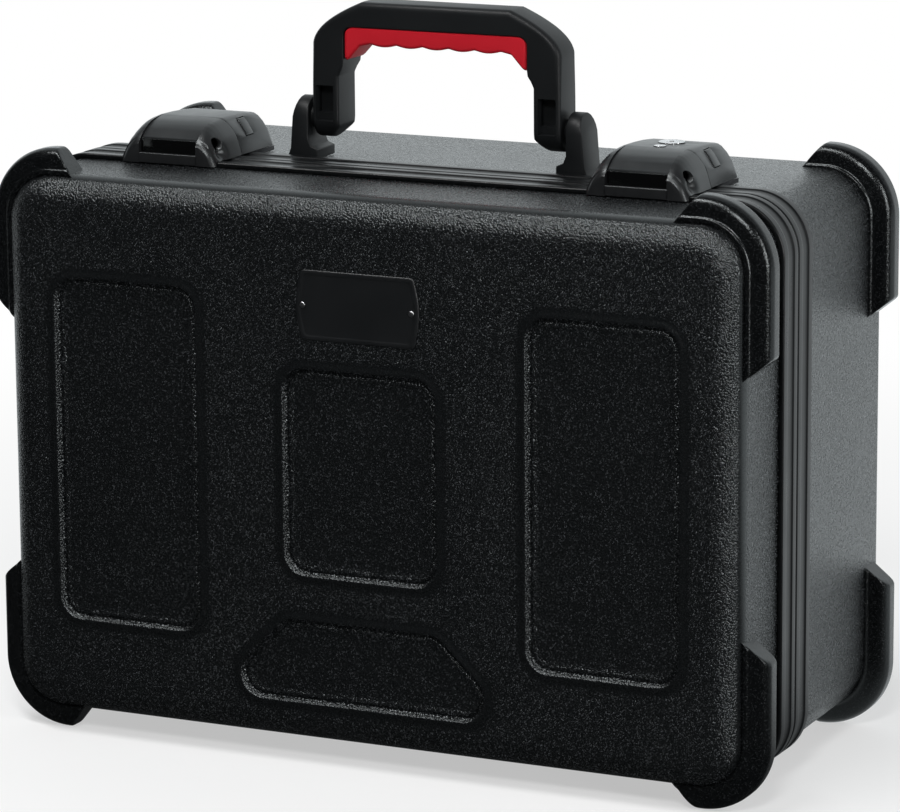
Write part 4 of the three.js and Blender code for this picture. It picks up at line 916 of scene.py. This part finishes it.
lip_outline = box_outline((0, 3.4), 3.8, -lip_drop, [0.8, 0.2, 0.3, 1.0])
floor_outline = box_outline((19.7, 33.7), 2, floor_foot, [0.1, 0.1, 0.3, 0.3])
lever_nylon = glossy_nose(*latch_nylon("lever_nylon", 1.0))
housing_nylon = bore_painted_dark(*latch_nylon("housing_nylon", 0.95))
button_nylon = latch_nylon("button_nylon", 0.8)[0]
plated_steel = two_toned("plated_steel", (0.022, 0.022, 0.024), (0.05, 0.05, 0.054), 0.8 * mm, 9 * mm,
                         (0.24, 0.2, 0.12), 0.02 * mm, rough=0.65, Metallic=0.85)
for side in ("left", "right"):
    latch, lever = f"latch_{side}", f"latch_{side}_lever"
    at = latch_middle * (1 if side == "right" else -1)
    for part, points, stands_for in (
        ("lip", across_the_latch(at, lip_outline), [f"{latch}_housing"]),
        ("floor", across_the_latch(at, floor_outline), []),
        ("cheek_left", cheek_surface(at, -1), []),
        ("cheek_right", cheek_surface(at, 1), []),
    ):
        creased(closed(f"{latch}_{part}", "lid", "latch", housing_nylon, points, stands_for))
    from_solid(f"{latch}_flap", lever, lever_nylon, lever, lever_edge)
    from_solid(f"{latch}_axle", "lid", plated_steel, f"{latch}_pin", plated_edge, 2)
    from_solid(f"{latch}_catch", "base", plated_steel, f"{latch}_keeper", plated_edge, 2)
    for where in ("inner", "outer"):
        button = f"{latch}_button_{where}"
        from_solid(f"{button}_cap", button, button_nylon, button, button_edge)


# Lock and indicator.
# A brass cylinder with a key slot, plated with chrome, that turns in the right lever, and a smaller
# plated disc pressed into the lever before it.
chrome_edge = 0.15 * mm
flat_along_z = (1, 1, 1000)
rim_low, rim_high = 0.25 * mm, 0.12 * mm


def turned_chrome(name, centre):
    """Plated brass with the fine rings of a lathe: a noise over the distance from the axis alone. Below
    the rim of its face it is painted dark, a painted shadow line along its side."""
    chrome = Finish(name, Metallic=1.0)
    radius = chrome.length(chrome.drawn(*flat_along_z, centre))
    rings = chrome.noise(0.5 * mm, 1, 0.5, chrome.node("ShaderNodeCombineXYZ", {}, {0: radius}))
    drift = chrome.noise(5 * mm, 2)
    bright = chrome.mixed(drift, (0.62, 0.62, 0.63), (0.72, 0.72, 0.73))
    # Painted shadow: the side below the rim of the face is near black.
    face = chrome.along("Z").step(centre[2] - rim_low, centre[2] - rim_high)
    chrome.set(Base_Color=chrome.mixed(face, (0.02, 0.02, 0.021), bright))
    chrome.set(Roughness=rings * 0.16 + drift * 0.08 + 0.1)
    return chrome


for name, body, node in (
    ("key_lock", "lock", "lock_cylinder"),
    ("lock_spot", "latch_right_lever", "lock_indicator"),
):
    low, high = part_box(node)
    centre = ((low[0] + high[0]) / 2, high[1] - (high[0] - low[0]) / 2, high[2])
    from_solid(name, body, turned_chrome(f"{name}_chrome", centre), node, chrome_edge, 2)


# Hinges.
# Two butt hinges under the case. Each has two leaves of plated steel, riveted to the shells, whose
# knuckles turn on a steel pin.
leaf_edge, axle_edge = 0.35 * mm, 0.2 * mm
for side in ("left", "right"):
    hinge = f"hinge_{side}"
    for body in ("lid", "base"):
        leaf = f"{hinge}_{body}_leaf"
        from_solid(f"{hinge}_leaf_{body}", body, plated_steel, leaf, leaf_edge, 2)
    from_solid(f"{hinge}_axle", "base", pin_steel, f"{hinge}_pin", axle_edge, 2)


# Seal.
# A closed cord of soft black rubber in the groove of the base's valance, on which the tongue of the lid's
# valance presses.
seal_low, seal_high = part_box("gasket")
seal_outer = seal_high[0] - rim_half[0]
seal_width = 2.8 * mm
seal_front, seal_back = seal_low[1] - front, seal_high[1] - front
seal_rubber = Finish("seal_rubber")
fine = seal_rubber.noise(0.5 * mm, 3, 0.6)
seal_rubber.set(Base_Color=seal_rubber.mixed(fine, (0.011, 0.011, 0.012), (0.02, 0.02, 0.021)))
seal_rubber.set(Roughness=fine * 0.2 + 0.5, Normal=seal_rubber.relief(fine, 0.03 * mm))
cord_shares = np.array([[0, 1], [0, 0.45], [-0.18, 0.12], [-0.5, 0], [-0.82, 0.12], [-1, 0.45], [-1, 1]])
cord = np.array([seal_outer, seal_front]) + cord_shares * [seal_width, seal_back - seal_front]
points = carried_round_the_rim(eased(cord / mm, [0.2, 0.5, 0.4, 0.4, 0.4, 0.5, 0.2], 4) * mm, 12)
made("seal_cord", "base", "seal", seal_rubber, points, grid_faces(*points.shape[:2], endless=True),
     stands_for=["gasket"])


# Badge plate.
# A bare plate of painted aluminium in a shallow seat of the lid, pressed with a raised rim, its ends
# bowed and its corners round. Two domed steel rivets hold it.
plate_low, plate_high = np.array(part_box("badge_plate"))
plate_half = (plate_high - plate_low)[[0, 2]] / 2
plate_middle = (plate_low[2] + plate_high[2]) / 2
plate_bow = 3.6 * mm
plate_corner, bow_corner, bow_points = 2.6, 1.4, 13
plate_levels = [(0.1, 1.6), (0, 1.5), (0, 0.75), (0.12, 0.42), (0.45, 0.14), (0.9, 0), (2.3, 0),
                (2.7, 0.12), (3.1, 0.3), (3.5, 0.34), (8, 0.28), (14, 0.2), (20.5, 0.16)]
plate_paint = two_toned("plate_paint", (0.004, 0.0047, 0.0054), (0.0058, 0.0067, 0.0076), 0.6 * mm, 22 * mm,
                        (0.3, 0.12, 0.08), 0.012 * mm)


def plate_surface():
    """Rings about the outline, from the back round the edge to the middle of the face. The outline is
    straight above and below, and its ends bulge by a half sine. Each ring is an (inset, depth), and an
    inset moves a point by its share of the half-width and the half-height. The face falls by a small
    step inside its rim and crowns again."""
    share = np.linspace(0, 1, bow_points)
    end = np.column_stack([plate_half[0] - plate_bow + plate_bow * np.sin(math.pi * share),
                           plate_half[1] * (2 * share - 1)])
    ease = [plate_corner] + [bow_corner] * (bow_points - 2) + [plate_corner]
    outline = eased(np.concatenate([end, -end]) / mm, ease * 2, 4) * mm
    inset, depth = np.array(plate_levels).T[:, :, None] * mm
    x = outline[None, :, 0] * (1 - inset / plate_half[0])
    z = outline[None, :, 1] * (1 - inset / plate_half[1])
    return np.stack([x, np.broadcast_to(plate_low[1] + depth, x.shape), plate_middle + z], -1)


closed("name_plate", "lid", "badge", plate_paint, plate_surface(), ["badge_plate"])
rivet_dome, rivet_shank = 0.8 * mm, 1.1 * mm


def turned_about_y(profile, centre, steps=32):
    """A profile of (radius, depth) turned about an axis along Y: x = r cos a, z = r sin a."""
    angle = np.linspace(0, 2 * math.pi, steps, endpoint=False)[None, :]
    radius, depth = (profile[:, axis][:, None] for axis in (0, 1))
    x, y, z = centre[0] + radius * np.cos(angle), centre[1] + depth, centre[2] + radius * np.sin(angle)
    return np.stack(np.broadcast_arrays(x, y, z), -1)


for side in ("left", "right"):
    node = f"badge_rivet_{side}"
    low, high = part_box(node)
    head = (high[0] - low[0]) / 2
    turn = np.linspace(0.02, math.pi / 2, 9)
    dome = np.column_stack([head * np.sin(turn), rivet_dome * (1 - np.cos(turn))])
    shank = [[rivet_shank, rivet_dome], [rivet_shank, high[1] - low[1]]]
    centre = ((low[0] + high[0]) / 2, low[1], (low[2] + high[2]) / 2)
    points = turned_about_y(np.concatenate([dome, shank]), centre)
    closed(f"plate_rivet_{side}", "lid", "steel", pin_steel, points, [node])


# Foam in the base.
# Charcoal polyether foam: three long blocks, each with five die-cut drops for microphones, glued to a
# floor pad. The space beside them holds accessories.
foam_inset = 7 * mm
drop_radius = 22 * mm
drop_columns = 5
drop_sink, drop_sink_share = 1.2 * mm, 0.35
block_edge, pad_edge = 1.4 * mm, 1.5 * mm
foam_black = Finish("charcoal_foam")
pores = foam_black.cells(1.3 * mm)
clouds = foam_black.noise(30 * mm, 3)
tone = pores * 0.6 + clouds * 0.4
foam_black.set(Base_Color=foam_black.mixed(tone, (0.013, 0.013, 0.014), (0.036, 0.036, 0.039)))
foam_black.set(Roughness=clouds * 0.08 + 0.88, Normal=foam_black.relief(pores, 0.55 * mm))


def into_the_corner(x, z):
    """Points near a corner of the foam space, moved onto the circle that rounds it when outside it."""
    radius = corner_radius - foam_inset
    centre = rim_half - corner_radius
    out_x, out_z = np.abs(x) - centre[0], np.abs(z - middle) - centre[1]
    away = np.hypot(out_x, out_z)
    outside = (out_x > 0) & (out_z > 0)
    edge = np.maximum(out_x, out_z)
    scale = np.where(outside, 1 - (1 - edge / np.maximum(away, 1e-9)) * smooth(edge, 0, radius), 1)
    x = np.where(outside, np.sign(x) * (centre[0] + out_x * scale), x)
    z = np.where(outside, middle + np.sign(z - middle) * (centre[1] + out_z * scale), z)
    return x, z


def die_cut_row(low, high, size=12):
    """A block with a row of round drops. The front of each cell runs from the circle of its drop to its
    square border, p = circle (1 - t) + border t, and sinks a little towards the drop. Corners that lie
    in a round corner of the case are moved out from its centre to its circle."""
    pitch = (high[0] - low[0]) / drop_columns
    half = np.array([pitch, high[2] - low[2]]) / 2
    share = np.linspace(-1, 1, size + 1)[:-1]
    one = 0 * share + 1
    sides = ((one, share), (-share, one), (-one, -share), (share, -one))
    border = np.concatenate([np.column_stack(side) for side in sides]) * half
    angle = np.arctan2(border[:, 1], border[:, 0])
    circle = drop_radius * np.column_stack([np.cos(angle), np.sin(angle)])
    t = np.array([0, 0.06, 0.15, 0.28, 0.45, 0.7, 1])[:, None, None]
    flat = circle * (1 - t) + border * t
    sunk = drop_sink * (1 - smooth(t[:, :, 0], 0, drop_sink_share)) * np.ones(len(border))
    points, faces, start = [], [], 0

    def add(x, y, z, ring):
        """One grid of points more, whose faces count on from those before it."""
        nonlocal start
        grid = np.stack(np.broadcast_arrays(x, y, z), -1)
        points.append(grid.reshape(-1, 3))
        faces.append(grid_faces(*grid.shape[:2], ring=ring) + start)
        start += grid.shape[0] * grid.shape[1]

    for cell in range(drop_columns):
        x, z = flat[..., 0] + low[0] + (cell + 0.5) * pitch, flat[..., 1] + (low[2] + high[2]) / 2
        x, z = into_the_corner(x, z)
        add(x, low[1] + sunk, z, True)
        add(x[[0, -1]], high[1], z[[0, -1]], True)
        add(x[[0, 0]], np.array([[low[1] + sunk[0, 0]], [high[1]]]), z[[0, 0]], True)
        outward = [1, 3] + [2] * (cell == 0) + [0] * (cell == drop_columns - 1)
        for side in outward:
            pick = np.arange(side * size, side * size + size + 1) % len(border)
            add(x[[-1, -1]][:, pick], np.array([[low[1]], [high[1]]]), z[[-1, -1]][:, pick], False)
    return np.concatenate(points), np.concatenate(faces)


for number in (1, 2, 3):
    node = f"foam_row_{number}"
    points, faces = die_cut_row(*np.array(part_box(node)))
    row = made(f"foam_block_{number}", "base", "foam", foam_black, points, faces, stands_for=[node])
    rounded(row, block_edge, angle=50)


def pad(y0, y1, edge):
    """A flat pad with the outline of the foam space: its profile is a round edge, the side and another
    round edge, carried round the rim, and a cap closes each face."""
    turn = np.linspace(0, math.pi / 2, 5)
    near = np.column_stack([edge * np.sin(turn) - edge, edge - edge * np.cos(turn)])
    far = near[::-1] * [1, -1]
    profile = np.concatenate([near + [-foam_inset, y0 - front], far + [-foam_inset, y1 - front]])
    points = carried_round_the_rim(profile, 12)
    index = np.arange(points[..., 0].size).reshape(points.shape[:2])
    faces = grid_faces(*index.shape, ring=False, endless=True)
    return points, faces, [index[:, 0].tolist(), index[:, -1].tolist()]


low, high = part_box("foam_floor")
points, faces, caps = pad(low[1], high[1], pad_edge)
made("foam_pad", "base", "foam", foam_black, points, faces, caps, ["foam_floor"])


# Foam in the lid.
# A thick pad of the same foam, glued into the lid, with slanted edges in front and a shallow cut of
# crests and hollows where it presses on the microphones.
crest_pitch, crest_depth = 40 * mm, 5 * mm
low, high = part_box("lid_foam")
pad_depth = high[1] - low[1]
crest_fade = np.array([5, 16]) * mm
face_edge, slant, slant_ease, slant_lead = 4 * mm, 5 * mm, 0.3 * mm, 1 * mm
foam_step = 4 * mm
turn = np.linspace(0, math.pi / 2, 6)[1:]
profile = [(face_edge * math.sin(a) - face_edge, face_edge - face_edge * math.cos(a)) for a in turn]
profile += [(0, pad_depth * share) for share in (0.3, 0.6)]
profile += [(0, pad_depth - slant - slant_lead), (-slant_ease, pad_depth - slant), (-slant, pad_depth)]
profile = [(offset - foam_inset, depth) for offset, depth in profile]


def crests(x, z):
    """Depth below the crests: half the crest depth times 1 - cos x cos z, flat along the border."""
    inside = np.minimum(rim_half[0] - foam_inset - np.abs(x), rim_half[1] - foam_inset - np.abs(z))
    wave = np.cos(2 * math.pi * x / crest_pitch) * np.cos(2 * math.pi * z / crest_pitch)
    return crest_depth / 2 * (1 - wave) * smooth(inside, *crest_fade)


flat = rim_half - foam_inset - face_edge
points, faces, caps = with_face(
    spaced(flat[0], foam_step), spaced(flat[1], foam_step),
    crests, corner_radius - foam_inset - face_edge, profile, high[1], -1,
)
made("lid_foam_pad", "lid", "foam", foam_black, points, faces, caps, ["lid_foam"])


# Floor and light.
# A white floor that keeps the shadow, a world that is bright behind the case and dim before it, and
# soft rectangular lamps.
floor_half = 6
floor_gap = 0.2 * mm
floor_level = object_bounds()[0][2] - floor_gap
dim = 0.03
cool, plain = (0.92, 0.98, 1), (1, 1, 1)
behind_span, sky_span, shadow_span = (-0.1, 0.3), (0.0, 0.8), (0.2, 1.3)
floor_mesh = bpy.data.meshes.new("floor")
corners = [(x * floor_half, y * floor_half, floor_level) for x, y in ((-1, -1), (1, -1), (1, 1), (-1, 1))]
floor_mesh.from_pydata(corners, [], [(0, 1, 2, 3)])
floor = bpy.data.objects.new("floor", floor_mesh)
bpy.context.collection.objects.link(floor)
pale = Finish("pale_floor", Base_Color=(0.9, 0.9, 0.9), Roughness=0.9, Specular_IOR_Level=0.0)
seen = pale.node("ShaderNodeLightPath", {}, {}, "Is Camera Ray")
mirrored = pale.node("ShaderNodeLightPath", {}, {}, "Is Glossy Ray")
behind = pale.along("Y").step(*behind_span)
strength = seen + (1 - seen) * (behind * (1 - dim) + dim)
glow_values = {"Color": pale.mixed(seen, cool, plain), "Strength": strength}
glow = pale.node("ShaderNodeEmission", {}, glow_values)
matt = Shade(pale, pale.shader.outputs[0])
share = (pale.length(pale.place).step(*shadow_span) * 0.5 + 0.5) * seen + mirrored
mixed = pale.node("ShaderNodeMixShader", {}, {0: share, 1: matt, 2: glow})
pale.tree.links.new(mixed.socket, pale.tree.nodes["Material Output"].inputs["Surface"])
pale.on(floor)

world = bpy.data.worlds.new("studio")
bpy.context.scene.world = world
sky = Finish("sky", world, "Background", "Generated")
seen = sky.node("ShaderNodeLightPath", {}, {}, "Is Camera Ray")
sky.set(Color=sky.mixed(seen, cool, plain))
sky.set(Strength=seen + (1 - seen) * (sky.along("Y").step(*sky_span) * (1 - dim) + dim))


def lamp(name, place, wide, high, watts, target=(0, 0, 0.2)):
    """A soft rectangular lamp that faces a point."""
    data = bpy.data.lights.new(name, "AREA")
    data.shape, data.size, data.size_y, data.energy = "RECTANGLE", wide, high, watts
    thing = bpy.data.objects.new(name, data)
    bpy.context.collection.objects.link(thing)
    thing.location = place
    thing.rotation_euler = (Vector(target) - Vector(place)).to_track_quat("-Z", "Y").to_euler()


lamp("overhead", (-0.5, -0.8, 2.2), 1.6, 0.35, 30)
lamp("right", (2.3, -0.95, 0.75), 0.25, 1.4, 24)
lamp("front", (0.9, -2.2, 2.0), 0.5, 0.5, 30)

bpy.context.scene.view_settings.view_transform = "Standard"
